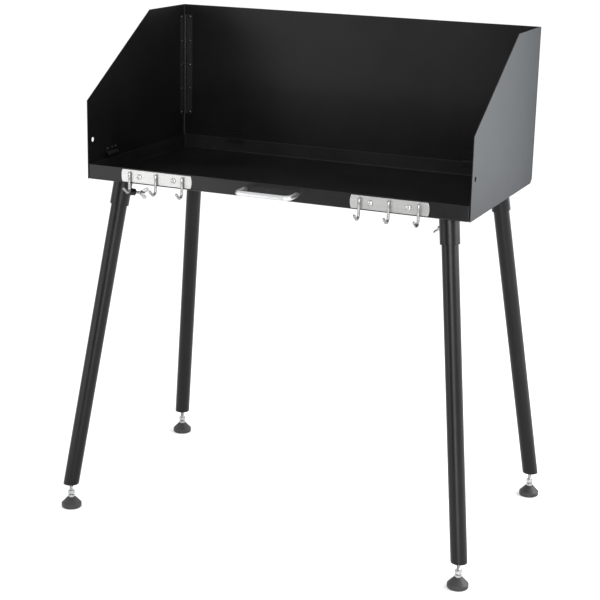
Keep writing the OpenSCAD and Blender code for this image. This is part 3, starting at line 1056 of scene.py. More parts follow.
def hexagon(across: float, levels: Sequence[Point], bore: Sequence[Point], steps: int = 72) -> Solid:
    """A hexagon about Z with turned off corners.

    Args:
        across: Width over the flats.
        levels: Heights from the bottom up, each with the largest radius there, as a share of the flats'.
        bore: Heights and radii of the hole from the top down, or nothing where there is no hole.
        steps: Points round the axis.

    Returns:
        The hexagon.
    """
    flat, sixth = across / 2, math.pi / 3
    bearings = [2 * math.pi * k / steps for k in range(steps)]
    reach = [flat / math.cos((a + sixth / 2) % sixth - sixth / 2) for a in bearings]
    rings = []
    for height, most in levels:
        radii = [min(r, flat * most) for r in reach]
        rings.append([Vector((r * c, r * s, height)) for r, (c, s) in zip(radii, around(steps))])
    rings += [[Vector((x, y, height)) for x, y in circle(r, steps=steps)] for height, r in bore]
    return Solid().loft(rings, closed=bool(bore))


@dataclass
class Tray:
    """The folded tray with its upright lip."""

    width: float = 790.0
    depth: float = 406.0
    lip: float = 30.0
    sheet: float = 1.5
    fold: float = 3.0
    corner: float = 2.6
    rim: float = 0.5
    hold: float = 0.6
    level: float = 692.0

    @property
    def front(self) -> float:
        """Y of the front lip's outer face."""
        return -self.depth / 2

    @property
    def lip_top(self) -> float:
        """Height of the lip's top edge."""
        return self.level + self.lip

    def ring(self, inset: float, height: float, corner: float) -> list[Vector]:
        """The tray's outline, drawn in by an inset."""
        return rounded_box(self.width / 2 - inset, self.depth / 2 - inset, corner, self.level + height)

    def bend(self, inset: float, radius: float, rise: float, corner: float) -> list[list[Vector]]:
        """One face of the bend between the floor and the lip.

        Args:
            inset: Inset of the lip's face.
            radius: The bend's radius.
            rise: Height of the floor's face.
            corner: Radius of the corners.

        Returns:
            The rings, from the floor up.
        """
        rings = []
        for share in (math.radians(angle) for angle in (0, 18, 36, 54, 72, 90)):
            inward = inset + radius * (1 - math.sin(share))
            rings.append(self.ring(inward, rise + radius * (1 - math.cos(share)), corner))
        return rings

    def build(self) -> bpy.types.Mesh:
        """Lofts the outside up, over the rim and down the inside, with a ring beside each bend.

        Returns:
            The mesh.
        """
        hollow = self.corner - self.sheet
        edge = self.lip - self.rim
        inset, low, high = self.fold + self.hold, self.fold + self.hold, edge - self.hold
        rings = [self.ring(inset, 0, self.corner), *self.bend(0, self.fold, 0, self.corner)]
        rings += [self.ring(0, height, self.corner) for height in (low, high)]
        for angle in (0, 45, 90, 135, 180):
            share = math.radians(angle)
            inward = (self.sheet / 2 - self.rim) * (angle / 90) + self.rim * (1 - math.cos(share))
            corner = self.corner + (hollow - self.corner) * angle / 180
            rings.append(self.ring(inward, edge + self.rim * math.sin(share), corner))
        rings += [self.ring(self.sheet, height, hollow) for height in (high, low)]
        rings += reversed(self.bend(self.sheet, self.fold - self.sheet, self.sheet, hollow))
        rings.append(self.ring(inset, self.sheet, hollow))
        return Solid().loft(rings).mesh("tray_pan")

    def dress(self) -> None:
        """Puts the tray into the scene."""
        # The tray's coat carries painted light: a lighter tone of the same black coat.
        place("tray_pan", self.build(), "base", TRAY_COAT_PAINTED_LIGHT, "tray")


@dataclass
class LegCorner:
    """One leg with its socket, clamp screw and levelling foot."""

    corner: Corner
    kit: Kit
    ear_turn: float
    level: float = 692.0
    top: Point = (342.0, 156.0)
    foot: Point = (423.0, 246.0)
    rim: float = 0.4
    cut_reach: float = 1.0
    play: float = 0.2
    socket_d: float = 38.0
    socket_bore: float = 33.0
    socket_l: float = 55.0
    clamp_down: float = 27.0
    boss_d: float = 14.0
    boss_l: float = 10.0
    boss_sink: float = 1.9
    boss_edge: float = 0.8
    boss_mouth: float = 0.5
    tray_bead: float = 2.1
    tray_bead_out: float = 0.5
    tray_bead_down: float = 0.6
    tray_bead_flat: float = 0.85
    tray_drops: int = 84
    boss_bead: float = 1.3
    boss_bead_out: float = 0.3
    boss_bead_up: float = 0.4
    boss_drops: int = 44
    leg_d: float = 32.0
    leg_wall: float = 1.5
    leg_end: float = 52.0
    leg_gap: float = 0.4
    plug_t: float = 6.0
    plug_in: float = 0.4
    plug_play: float = 0.1
    plug_edge: float = 0.5
    neck_d: float = 12.0
    neck_l: float = 2.5
    neck_in: float = 4.0
    neck_mouth: float = 0.4
    screw_d: float = 6.0
    screw_pitch: float = 1.0
    screw_depth: float = 0.5
    screw_gap: float = 0.1
    screw_root: float = 1.0
    bare: float = 11.0
    hub_d: float = 10.5
    hub_l: float = 9.0
    hub_edge: float = 0.8
    hub_slim: float = 0.9
    hub_taper: Point = (0.44, 0.40)
    ear_sweep: Point = (-20.0, 150.0)
    ear_span: float = 27.0
    ear_t: float = 2.6
    ear_r: float = 4.5
    ear_rim: float = 0.5
    voxel: float = 0.36
    pad_d: float = 41.0
    pad_side: float = 9.0
    pad_h: float = 22.0
    pad_top: float = 16.5
    pad_sole_in: float = 4.5
    pad_sole_r: float = 2.5
    pad_rim_r: float = 1.0
    pad_crown_r: float = 0.9
    pad_soft: float = 0.7
    stud_d: float = 8.0
    stud_pitch: float = 1.25
    stud_depth: float = 0.65
    stud_in: float = 34.0
    stud_root: float = 2.0
    hex_af: float = 13.0
    hex_t: float = 4.5
    hex_edge: float = 0.5
    nut_t: float = 6.5
    nut_gap: float = 3.0

    @property
    def splay(self) -> Point:
        """How far the foot stands out from the leg's top."""
        return self.foot[0] - self.top[0], self.foot[1] - self.top[1]

    @property
    def lean(self) -> float:
        """The leg's angle to the vertical."""
        return math.atan2(math.hypot(*self.splay), self.level - self.leg_end)

    @property
    def axis(self) -> Matrix:
        """The leg's own frame.

        Returns:
            The frame: origin at the tray's underside, +Z up the leg, +X outwards.
        """
        x, y = self.corner.value
        bearing = math.atan2(y * self.splay[1], x * self.splay[0])
        head = Matrix.Translation((x * self.top[0], y * self.top[1], self.level))
        return head @ Matrix.Rotation(bearing, 4, "Z") @ Matrix.Rotation(-self.lean, 4, "Y")

    @property
    def clamp(self) -> Matrix:
        """The clamp screw's frame: +Z from the leg's axis towards the table's middle."""
        lift = Matrix.Translation((0, 0, -self.clamp_down))
        return self.axis @ lift @ Matrix.Rotation(-QUARTER, 4, "Y")

    @property
    def ground(self) -> Matrix:
        """The foot's frame: origin on the ground, +Z up the stud."""
        x, y = self.corner.value
        return Matrix.Translation((x * self.foot[0], y * self.foot[1], 0))

    def level_cut(self, end: float) -> Callable[[Vector], Vector]:
        """A rule that shears the points near one end of a tube, so that the cut lies level.

        Args:
            end: The end's height in the leg's frame.

        Returns:
            The rule.
        """
        slope = math.tan(self.lean)

        def rule(spot: Vector) -> Vector:
            """Shears one point."""
            near = abs(spot.z - end) <= self.cut_reach
            return Vector((spot.x, spot.y, spot.z - spot.x * slope)) if near else spot

        return rule

    def tube(self, outer: float, bore: float, low: float, high: float) -> Solid:
        """A tube about the leg's axis with rounded ends.

        Args:
            outer: Outside diameter.
            bore: Inside diameter.
            low: Lower end.
            high: Upper end.

        Returns:
            The tube.
        """
        far, near, rim = outer / 2, bore / 2, self.rim
        soft, hold = 0.3 * rim, 2 * rim
        profile = [
            (far, high - hold), (far, high - rim), (far - soft, high - soft), (far - rim, high),
            (near + rim, high), (near, high - rim), (near, low + rim), (near + rim, low),
            (far - rim, low), (far - soft, low + soft), (far, low + rim), (far, low + hold),
        ]
        return Solid().turned(profile, 64, closed=True)

    def build_socket(self) -> tuple[bpy.types.Mesh, bpy.types.Mesh]:
        """The socket's tube, and the threaded boss on its inner side.

        Returns:
            The two meshes.
        """
        wall = self.tube(self.socket_d, self.socket_bore, -self.socket_l, 0.0)
        wall.bent(self.level_cut(0.0)).moved(self.axis)
        start = self.socket_d / 2 - self.boss_sink
        stop = self.socket_d / 2 + self.boss_l
        far, near = self.boss_d / 2, self.screw_d / 2 + self.play
        edge, mouth = self.boss_edge, self.boss_mouth
        profile = [
            (far, start), (far, stop - edge), (far - edge, stop),
            (near + mouth, stop), (near, stop - mouth), (near, start),
        ]
        boss = Solid().turned(profile, 40, closed=True).moved(self.clamp)
        return wall.mesh(f"socket_tube_{self.corner.word}"), boss.mesh(f"socket_boss_{self.corner.word}")

    def build_welds(self) -> bpy.types.Mesh:
        """Weld beads where the socket meets the tray and the boss meets the socket.

        Returns:
            The mesh.
        """
        slope, half = math.tan(self.lean), self.socket_d / 2
        weld, down = self.kit.weld, Vector((0, 0, -self.tray_bead_down))
        round_tray = []
        for x, y in circle(half + self.tray_bead_out, steps=self.tray_drops):
            round_tray.append(self.axis @ Vector((x, y, -x * slope)) + down)
        round_boss = []
        for z, y in circle(self.boss_d / 2 + self.boss_bead_out, steps=self.boss_drops):
            round_boss.append(self.clamp @ Vector((z, y, math.sqrt(half**2 - y * y) + self.boss_bead_up)))
        flat = {"Flatness": self.tray_bead_flat}
        tray_weld = weld.make(BLACK, {"Radius": self.tray_bead}, round_tray, flat)
        boss_weld = weld.make(BLACK, {"Radius": self.boss_bead}, round_boss, {"Flatness": 1.0})
        return merged(f"socket_welds_{self.corner.word}", [tray_weld, boss_weld])

    def build_leg(self) -> tuple[bpy.types.Mesh, bpy.types.Mesh]:
        """The leg's tube, square at its top and level at its lower end, and its plug with the neck.

        Returns:
            The two meshes.
        """
        slope = math.tan(self.lean)
        drop = (self.leg_d / 2 * math.sin(self.lean) + self.leg_gap) / math.cos(self.lean)
        length = (self.level - self.leg_end) / math.cos(self.lean)
        bore = self.leg_d - 2 * self.leg_wall
        tube = self.tube(self.leg_d, bore, -length, -drop)
        tube.bent(self.level_cut(-length)).moved(self.axis)
        radius, edge, low = bore / 2 - self.plug_play, self.plug_edge, self.plug_in
        disc = Solid().turned([(radius - edge, low), (radius, low + edge), (radius, self.plug_t)], 56)
        disc.bent(lambda p: Vector((p.x, p.y, p.z - length - p.x * slope))).moved(self.axis)
        far, near = self.neck_d / 2, self.stud_d / 2 + self.play
        base = self.leg_end - self.neck_l
        inner, mouth = base + self.neck_in, self.neck_mouth
        neck = [
            (far, inner), (far, base + edge), (far - edge, base),
            (near + mouth, base), (near, base + mouth), (near, inner),
        ]
        disc.add(Solid().turned(neck, 40, closed=True).moved(self.ground))
        return tube.mesh(f"leg_tube_{self.corner.word}"), disc.mesh(f"leg_plug_{self.corner.word}")

    def build_wing_head(self, out: float) -> bpy.types.Mesh:
        """The wing screw's cast head: a hub with two ears, fused and softened.

        Args:
            out: Distance of its inner face from the leg's axis.

        Returns:
            The mesh, along +Z.
        """
        far, end, edge, slim = self.hub_d / 2, out + self.hub_l, self.hub_edge, self.hub_slim
        hub = [
            (far - edge, out), (far, out + edge),
            (self.hub_taper[0] * self.hub_d, end - slim), (self.hub_taper[1] * self.hub_d - slim, end),
        ]
        casting = Solid().turned(hub, 32)
        tip = (self.ear_span / 2 - self.ear_r, self.hub_l + self.ear_r / 2)
        outline = [(1.0, 0.6), (far - 0.4, 1.4), *arc(tip, self.ear_r, *self.ear_sweep, 10)]
        outline.append((1.0, self.hub_l - edge))
        upright = Matrix.Translation((0, self.ear_t / 2, out)) @ Matrix.Rotation(QUARTER, 4, "X")
        for turn in (0, math.pi):
            ear = Solid().plate(outline, self.ear_t, rim=self.ear_rim)
            casting.add(ear.moved(Matrix.Rotation(turn, 4, "Z") @ upright))
        carrier = shown("wing_casting", casting.mesh("wing_casting"))
        fused = carrier.modifiers.new("fused", "REMESH")
        fused.mode = "VOXEL"
        fused.voxel_size = self.voxel * MM
        soft = carrier.modifiers.new("soft", "SMOOTH")
        soft.factor = 0.5
        soft.iterations = 7
        return smoothed(as_mesh(carrier, "wing_head"), 80)

    def build_clamp(self) -> bpy.types.Mesh:
        """The wing screw: its cast head and its threaded shank.

        Returns:
            The mesh.
        """
        out = self.socket_d / 2 + self.boss_l + self.bare
        head = self.build_wing_head(out)
        start = self.leg_d / 2 + self.screw_gap
        lengths = {
            "Radius": self.screw_d / 2,
            "Depth": self.screw_depth,
            "Pitch": self.screw_pitch,
            "Length": out - start + self.screw_root,
        }
        shank = self.kit.thread.make(ZINC, lengths, [(0, 0, start)])
        mesh = merged(f"wing_bolt_{self.corner.word}", [head, shank])
        return put(mesh, self.clamp @ Matrix.Rotation(math.radians(self.ear_turn), 4, "Z"))

    def build_stud(self) -> bpy.types.Mesh:
        """The levelling stud: its thread and the hexagon that it is turned by.

        Returns:
            The mesh.
        """
        start = self.pad_h - self.stud_root
        lengths = {
            "Radius": self.stud_d / 2,
            "Depth": self.stud_depth,
            "Pitch": self.stud_pitch,
            "Length": self.leg_end + self.stud_in - start,
        }
        thread = self.kit.thread.make(ZINC, lengths, [(0, 0, start)])
        grip = self.nut(self.pad_h, self.hex_t).mesh("stud_hexagon", 20)
        return put(merged(f"levelling_stud_{self.corner.word}", [thread, grip]), self.ground)

    def nut(self, base: float, height: float, bore: float = 0.0) -> Solid:
        """A hexagon of the foot.

        Args:
            base: Height of its lower face.
            height: Its thickness.
            bore: Diameter of its hole, or 0 for none.

        Returns:
            The hexagon, about Z.
        """
        top, edge, near = base + height, self.hex_edge, bore / 2
        levels = [(base, 1.005), (base + edge, 1.125), (top - edge, 1.125), (top, 1.005)]
        hole = [(top, near + edge), (top - edge, near), (base + edge, near), (base, near + edge)]
        return hexagon(self.hex_af, levels, hole if bore else [])

    def build_pad(self) -> bpy.types.Mesh:
        """The moulded foot pad: round edges and a coned top.

        Returns:
            The mesh.
        """
        half, top, soft = self.pad_d / 2, self.pad_top / 2, self.pad_soft
        sole, rim, crown = self.pad_sole_r, self.pad_rim_r, self.pad_crown_r
        profile: list[Point] = [(half - self.pad_sole_in, 0.0)]
        profile += arc((half - sole, sole), sole, -90, 0, 5)
        profile += arc((half - rim, self.pad_side - soft), rim, 0, 47, 4)
        profile += arc((top - soft, self.pad_h - crown), crown, 43, 90, 4)
        return Solid().turned(profile, 64).moved(self.ground).mesh(f"foot_pad_{self.corner.word}")

    def dress(self) -> None:
        """Puts the corner's pieces into the scene."""
        word = self.corner.word
        leg_body, foot_body = f"{word}_leg", f"{word}_foot"
        socket, boss = self.build_socket()
        place(f"socket_tube_{word}", socket, "base", BLACK, f"socket_{word}")
        place(f"socket_boss_{word}", boss, "base", BLACK, f"boss_{word}")
        place(f"socket_welds_{word}", self.build_welds(), "base", BLACK)
        leg, plug = self.build_leg()
        place(f"leg_tube_{word}", leg, leg_body, BLACK, f"leg_{word}")
        place(f"leg_plug_{word}", plug, leg_body, BLACK, f"plug_{word}")
        place(f"wing_bolt_{word}", self.build_clamp(), f"{word}_clamp", ZINC, f"wing_screw_{word}")
        place(f"levelling_stud_{word}", self.build_stud(), foot_body, ZINC, f"stud_{word}")
        nut = self.nut(self.pad_h + self.hex_t + self.nut_gap, self.nut_t, self.stud_d + self.play)
        nut_mesh = nut.moved(self.ground).mesh(f"lock_nut_{word}", 20)
        place(f"lock_nut_{word}", nut_mesh, foot_body, ZINC, f"jam_nut_{word}")
        place(f"foot_pad_{word}", self.build_pad(), foot_body, PLASTIC, f"pad_{word}")


@dataclass
class Windscreen:
    """The back panel with its clips, the hinges and the two wings."""

    tray: Tray
    kit: Kit
    height: float = 313.0
    sheet: float = 1.5
    rim: float = 0.35
    gap: float = 0.5
    rear_gap: float = 2.0
    wing_front: float = 156.0
    wing_top: float = 152.0
    heel: float = 8.0
    hole_d: float = 9.5
    hole_in: float = 19.0
    hole_up: float = 76.0
    hinge_low: float = 75.0
    hinge_l: float = 216.0
    knuckles: int = 17
    knuckle_d: float = 5.0
    knuckle_gap: float = 0.4
    knuckle_off: float = 0.4
    curl: float = 312.0
    pin_d: float = 2.4
    pin_out: float = 0.15
    pin_head: float = 0.75
    pin_crown: tuple[Point, ...] = ((0.5, 0.6), (0.9, 0.4), (1.0, 0.0))
    leaf_w: float = 16.0
    leaf_t: float = 1.0
    leaf_rim: float = 0.14
    rivet_count: int = 5
    rivet_in: float = 10.0
    rivet_d: float = 6.0
    rivet_h: float = 1.4
    rivet_end: float = 4.5
    clip_w: float = 42.0
    clip_t: float = 1.5
    clip_h: float = 20.0
    clip_in: float = 89.0
    clip_gap: float = 0.3
    clip_rim: float = 0.25
    clip_angle: float = 13.0
    clip_welds: tuple[float, ...] = (-15.0, 2.0, 16.0)
    weld_r: float = 1.7
    weld_in: float = 0.9
    weld_flat: float = 0.9
    weld_step: float = 1.1
    bead_r: float = 5.0
    bead_neck: float = 0.4
    rear_clip_x: float = 270.0
    rear_drop: float = 10.0

    @property
    def wing_x(self) -> float:
        """X of the right wing's inner face."""
        return self.tray.width / 2 + self.gap

    @property
    def back_y(self) -> float:
        """Y of the back panel's inner face."""
        return self.tray.depth / 2 + self.gap

    @property
    def axis_off(self) -> float:
        """Distance of the pins from the panels' inner faces."""
        return self.knuckle_d / 2 + self.knuckle_off

    @property
    def clip_y(self) -> float:
        """Y of the wing clips' middle."""
        return self.tray.front + self.clip_in

    @property
    def pin(self) -> Matrix:
        """The right hinge's frame: origin at the pin's lower end."""
        off = self.axis_off
        return Matrix.Translation((self.wing_x - off, self.back_y - off, self.tray.level + self.hinge_low))

    def hinge(self, side: Side, on_wing: bool) -> Matrix:
        """The frame of a wing's leaf, or of a back leaf, which is the wing's turned over."""
        over = Matrix.Identity(4) if on_wing else turn_of((0, 1, 0), (1, 0, 0), (0, 0, 1))
        return side.mirror @ self.pin @ over

    def build_back(self) -> bpy.types.Mesh:
        """The back panel with its rounded lower corners.

        Returns:
            The mesh.
        """
        half, heel = self.wing_x + self.sheet, self.heel
        outline = arc((heel - half, heel), heel, 180, 270, 10)
        outline += [*arc((half - heel, heel), heel, -90, 0, 10), (half, self.height), (-half, self.height)]
        stand = Matrix.Translation((0, self.back_y + self.sheet, self.tray.level))
        panel = Solid().plate(outline, self.sheet, rim=self.rim)
        return panel.moved(stand @ Matrix.Rotation(QUARTER, 4, "X")).mesh("screen_back")

    def build_wing(self, side: Side) -> bpy.types.Mesh:
        """A wing with its raked front and its hole.

        Args:
            side: The wing's side.

        Returns:
            The mesh.
        """
        front, rear, heel = self.tray.front, self.back_y - self.rear_gap, self.heel
        outline = [(front, 0.0), *arc((rear - heel, heel), heel, -90, 0, 10)]
        outline += [(rear, self.height), (rear - self.wing_top, self.height), (front, self.wing_front)]
        hole = circle(self.hole_d / 2, (front + self.hole_in, self.hole_up), 36)
        panel = Solid().plate(outline, self.sheet, [hole], self.rim)
        stand = Matrix.Translation((self.wing_x, 0, self.tray.level))
        turn = turn_of((0, 0, 1), (1, 0, 0), (0, 1, 0))
        return panel.moved(side.mirror @ stand @ turn).mesh(f"screen_wing_{side.word}")

    def build_wing_clip(self, side: Side) -> bpy.types.Mesh:
        """A wing clip: a flange on the panel over a half round bead that sits on the lip.

        Args:
            side: The clip's side.

        Returns:
            The mesh.
        """
        outer = self.bead_r + self.clip_t
        middle = self.clip_gap + outer
        outline = [(0.0, self.clip_gap), *arc((0.0, middle), outer, -90, 76, 14)[1:]]
        outline.append((self.clip_t, middle + outer + self.bead_neck))
        outline += [(self.clip_t, self.clip_h), (0.0, self.clip_h)]
        outline += arc((0.0, middle), self.bead_r, 89, -89, 14)
        clip = Solid().plate(outline, self.clip_w, rim=self.clip_rim)
        stand = Matrix.Translation((self.wing_x, self.clip_y - self.clip_w / 2, self.tray.lip_top))
        turn = turn_of((-1, 0, 0), (0, 0, 1), (0, 1, 0))
        return clip.moved(side.mirror @ stand @ turn).mesh(f"lip_clip_{side.word}", self.clip_angle)

    def build_rear_clips(self) -> bpy.types.Mesh:
        """The two hooks that hang the screen on the rear lip.

        Returns:
            The mesh.
        """
        inside = self.gap + self.tray.sheet + self.clip_gap
        thick, rest, drop = self.clip_t, self.clip_gap, -self.rear_drop
        outline = [(0.0, rest), (inside, rest), (inside, drop), (inside + thick, drop)]
        outline += arc((inside, rest), thick, 0, 90, 6)
        outline += [(thick, rest + thick), (thick, self.clip_h), (0.0, self.clip_h)]
        turn = turn_of((0, 0, 1), (-1, 0, 0), (0, 1, 0))
        pair = Solid()
        for side in Side:
            x = side.value * self.rear_clip_x - self.clip_w / 2
            stand = Matrix.Translation((x, self.back_y, self.tray.lip_top))
            pair.add(Solid().plate(outline, self.clip_w, rim=self.clip_rim).moved(stand @ turn))
        return pair.mesh("rear_lip_clips", self.clip_angle)

    def build_leaf(self, side: Side, on_wing: bool) -> bpy.types.Mesh:
        """A hinge leaf: the wing's has the odd knuckles, the back's the even ones.

        Args:
            side: The hinge's side.
            on_wing: Whether the leaf is on the wing.

        Returns:
            The mesh.
        """
        step = (self.hinge_l + self.knuckle_gap) / self.knuckles
        first = int(on_wing)
        lengths = {
            "Sheet": self.leaf_t,
            "Face offset": self.axis_off,
            "Width": self.leaf_w,
            "Curl radius": (self.knuckle_d - self.leaf_t) / 2,
            "Length": self.hinge_l,
            "Knuckle length": step - self.knuckle_gap,
            "Step": step,
            "Clearance": self.knuckle_gap,
        }
        shares = {
            "First knuckle": float(first),
            "Knuckles": (self.knuckles - first + 1) // 2,
            "Sweep": math.radians(self.curl),
        }
        mesh = self.kit.leaf.make(LEAF_COAT_PAINTED_LIGHT, lengths, shares=shares, rounding=self.leaf_rim)
        return put(smoothed(mesh, 20), self.hinge(side, on_wing))

    def build_pin(self, side: Side) -> bpy.types.Mesh:
        """A hinge pin, peened at both ends.

        Args:
            side: The hinge's side.

        Returns:
            The mesh.
        """
        half, head = self.pin_d / 2, self.pin_d * self.pin_head
        low, high = -self.pin_out, self.hinge_l + self.pin_out
        profile = [(head * share, low - rise) for share, rise in self.pin_crown]
        profile += [(half, low), (half, high)]
        profile += [(head * share, high + rise) for share, rise in reversed(self.pin_crown)]
        pin = Solid().turned(profile, 24)
        return pin.moved(side.mirror @ self.pin).mesh(f"hinge_wire_{side.word}")

    def build_rivets(self, side: Side, on_wing: bool) -> bpy.types.Mesh:
        """A leaf's rivet heads.

        Args:
            side: The hinge's side.
            on_wing: Whether the leaf is on the wing.

        Returns:
            The mesh.
        """
        step = (self.hinge_l - 2 * self.rivet_end) / (self.rivet_count - 1)
        points = [(0.0, self.rivet_end + i * step, 0.0) for i in range(self.rivet_count)]
        mesh = self.kit.rivets.make(RIVET, {"Radius": self.rivet_d / 2, "Height": self.rivet_h}, points)
        spot = Matrix.Translation((self.axis_off - self.leaf_t, -self.rivet_in, 0))
        turn = turn_of((0, 0, -1), (-1, 0, 0), (0, 1, 0))
        return put(mesh, self.hinge(side, on_wing) @ spot @ turn)

    def build_clip_welds(self, side: Side) -> bpy.types.Mesh:
        """Three short welds along the top of a wing clip.

        Args:
            side: The clip's side.

        Returns:
            The mesh.
        """
        x, z = self.wing_x - self.weld_in, self.tray.lip_top + self.clip_h
        spots = [self.clip_y + y + k * self.weld_step for y in self.clip_welds for k in (-1, 0, 1)]
        points = [(x, y, z) for y in spots]
        flat = {"Flatness": self.weld_flat}
        mesh = self.kit.weld.make(RIVET, {"Radius": self.weld_r}, points, flat)
        return put(mesh, side.mirror)

    def dress(self) -> None:
        """Puts the screen's pieces into the scene."""
        back = "windscreen"
        place("screen_back", self.build_back(), back, BLACK, "back_panel")
        place("rear_lip_clips", self.build_rear_clips(), back, BLACK, "rear_clips")
        heads = merged("back_leaf_rivets", [self.build_rivets(side, False) for side in Side])
        place("back_leaf_rivets", heads, back, RIVET, "back_rivets")
        for side in Side:
            word, wing = side.word, f"{side.word}_wing"
            leaf = self.build_leaf(side, False)
            place(f"hinge_back_leaf_{word}", leaf, back, LEAF_COAT_PAINTED_LIGHT, f"back_leaf_{word}")
            place(f"hinge_wire_{word}", self.build_pin(side), back, RIVET, f"hinge_pin_{word}")
            place(f"screen_wing_{word}", self.build_wing(side), wing, BLACK, f"wing_{word}")
            leaf = self.build_leaf(side, True)
            place(f"hinge_wing_leaf_{word}", leaf, wing, LEAF_COAT_PAINTED_LIGHT, f"wing_leaf_{word}")
            heads = self.build_rivets(side, True)
            place(f"wing_leaf_rivets_{word}", heads, wing, RIVET, f"wing_rivets_{word}")
            place(f"lip_clip_{word}", self.build_wing_clip(side), wing, BLACK, f"wing_clip_{word}")
            place(f"clip_welds_{word}", self.build_clip_welds(side), wing, RIVET)


@dataclass
class FrontFittings:
    """The hook rails with their hooks and screws, and the pull handle."""

    tray: Tray
    kit: Kit
    rail_l: float = 155.0
    rail_h: float = 25.0
    rail_t: float = 1.5
    rail_x: float = 242.0
    rail_z: float = 15.5
    rail_bow: float = 32.0
    rail_rim: float = 0.45
    hook_pitch: float = 58.0
    hook_d: float = 5.5
    hook_r: float = 8.0
    hook_top: float = 24.0
    hook_drop: float = 7.0
    hook_bend: float = 130.0
    hook_tip: float = 12.0
    hook_gap: float = 0.1
    hook_mid: float = 8.0
    hook_crown: tuple[Point, ...] = ((0.0, 0.9), (0.5, 0.3), (1.2, 0.0))
    hook_point: float = 0.15
    screw_pitch: float = 75.0
    thread_r: float = 2.0
    thread_depth: float = 0.4
    thread_pitch: float = 0.7
    thread_out: float = 2.5
    head_d: float = 11.0
    head_h: float = 3.0
    head_cross: Spot = (1.1, 5.6, 1.5)
    nut_af: float = 7.0
    nut_t: float = 3.2
    nut_edge: float = 0.5
    nut_hole: float = 2.1
    nut_mouth: float = 0.4
    handle_l: float = 107.0
    handle_d: float = 10.0
    handle_x: float = 4.0
    handle_out: float = 42.0
    handle_r: float = 11.0
    handle_z: float = 15.5
    handle_head_d: float = 10.0
    handle_head_h: float = 3.5
    handle_cross: Spot = (1.2, 5.2, 1.7)

    @property
    def screw_x(self) -> list[float]:
        """X of the rails' screws."""
        return [s.value * self.rail_x + end * self.screw_pitch / 2 for s in Side for end in (-1, 1)]

    def at_lip(self, x: float, behind: float, up: float, turn: float = 0.0) -> Matrix:
        """A frame at the front lip: a turn about X of 90 faces the front, and -90 the inside."""
        spot = Matrix.Translation((x, self.tray.front + behind, self.tray.level + up))
        return spot @ Matrix.Rotation(math.radians(turn), 4, "X")

    def build_rail(self, side: Side) -> bpy.types.Mesh:
        """A rail with bowed ends.

        Args:
            side: The rail's side.

        Returns:
            The mesh.
        """
        centre = self.rail_l / 2 - self.rail_bow
        reach = math.degrees(math.asin(self.rail_h / 2 / self.rail_bow))
        outline = arc((centre, 0), self.rail_bow, -reach, reach, 16)
        outline += arc((-centre, 0), self.rail_bow, 180 - reach, 180 + reach, 16)
        rail = Solid().plate(outline, self.rail_t, rim=self.rail_rim)
        stand = self.at_lip(side.value * self.rail_x, 0, self.rail_z, 90)
        return rail.moved(stand).mesh(f"hook_rail_{side.word}")

    def hook_line(self) -> tuple[list[Vector], list[float]]:
        """The middle of a hook, from its rounded top to its rounded tip.

        Returns:
            The points, and the bar's radius at each.
        """
        radius = self.hook_d / 2
        line: list[Point] = [(0.0, self.hook_top - drop) for drop, _ in self.hook_crown]
        line += [(0.0, self.hook_mid), (0.0, 0.0)]
        line += arc((-self.hook_r, -self.hook_drop), self.hook_r, 0, -self.hook_bend, 22)
        end = math.radians(-self.hook_bend)
        stretch = [self.hook_tip * s for s in (0.4, 0.8, 1.0)]
        rounding = [(radius * math.sin(a), radius * math.cos(a)) for a in (0.4, 0.8, 1.2, 1.5)]
        radii = [radius - slim for _, slim in self.hook_crown]
        radii += [radius] * (len(line) - len(radii) + len(stretch))
        radii += [max(r, self.hook_point) for _, r in rounding]
        y, z = line[-1]
        for run in (*stretch, *(self.hook_tip + rise for rise, _ in rounding)):
            line.append((y + math.sin(end) * run, z - math.cos(end) * run))
        return [Vector((0, y, z)) for y, z in line], radii

    def build_hooks(self, side: Side) -> bpy.types.Mesh:
        """The three hooks of a rail.

        Args:
            side: The rail's side.

        Returns:
            The mesh.
        """
        path, radii = self.hook_line()
        behind = -self.rail_t - self.hook_d / 2 - self.hook_gap
        row = Solid()
        for i in (-1, 0, 1):
            hook = Solid().swept(path, radii, Vector((1, 0, 0)))
            row.add(hook.moved(self.at_lip(side.value * self.rail_x + i * self.hook_pitch, behind, 0)))
        return row.mesh(f"tool_hooks_{side.word}", 50)

    def screw_heads(self, width: float, height: float, cross: Spot, points: list[Spot]) -> bpy.types.Mesh:
        """Domed heads with a cross recess, whose sizes are its slot, reach and depth."""
        sizes = zip(("Radius", "Height", "Slot", "Reach", "Depth"), (width / 2, height, *cross))
        return self.kit.screws.make(ZINC, dict(sizes), points)

    def build_screws(self) -> bpy.types.Mesh:
        """The rails' screw heads, and the screws' ends inside the lip.

        Returns:
            The mesh.
        """
        points = [(x, self.rail_z, 0) for x in self.screw_x]
        heads = self.screw_heads(self.head_d, self.head_h, self.head_cross, points)
        put(heads, self.at_lip(0, -self.rail_t, 0, 90))
        thread = {
            "Radius": self.thread_r,
            "Depth": self.thread_depth,
            "Pitch": self.thread_pitch,
            "Length": self.nut_t + self.thread_out,
        }
        ends = self.kit.thread.make(ZINC, thread, [(x, -self.rail_z, 0) for x in self.screw_x])
        put(ends, self.at_lip(0, 0, 0, -90))
        return merged("rail_cross_screws", [heads, ends])

    def build_nuts(self) -> bpy.types.Mesh:
        """The rails' nuts, inside the lip.

        Returns:
            The mesh.
        """
        top, near, mouth = self.nut_t, self.nut_hole, self.nut_mouth
        levels = [(0.0, 1.12), (top - self.nut_edge, 1.12), (top, 1.01)]
        hole = [(top, near + mouth), (top - mouth, near), (0.0, near)]
        nuts = Solid()
        for x in self.screw_x:
            stand = self.at_lip(x, self.tray.sheet, self.rail_z, -90)
            nuts.add(hexagon(self.nut_af, levels, hole, 48).moved(stand))
        return nuts.mesh("rail_hex_nuts", 20)

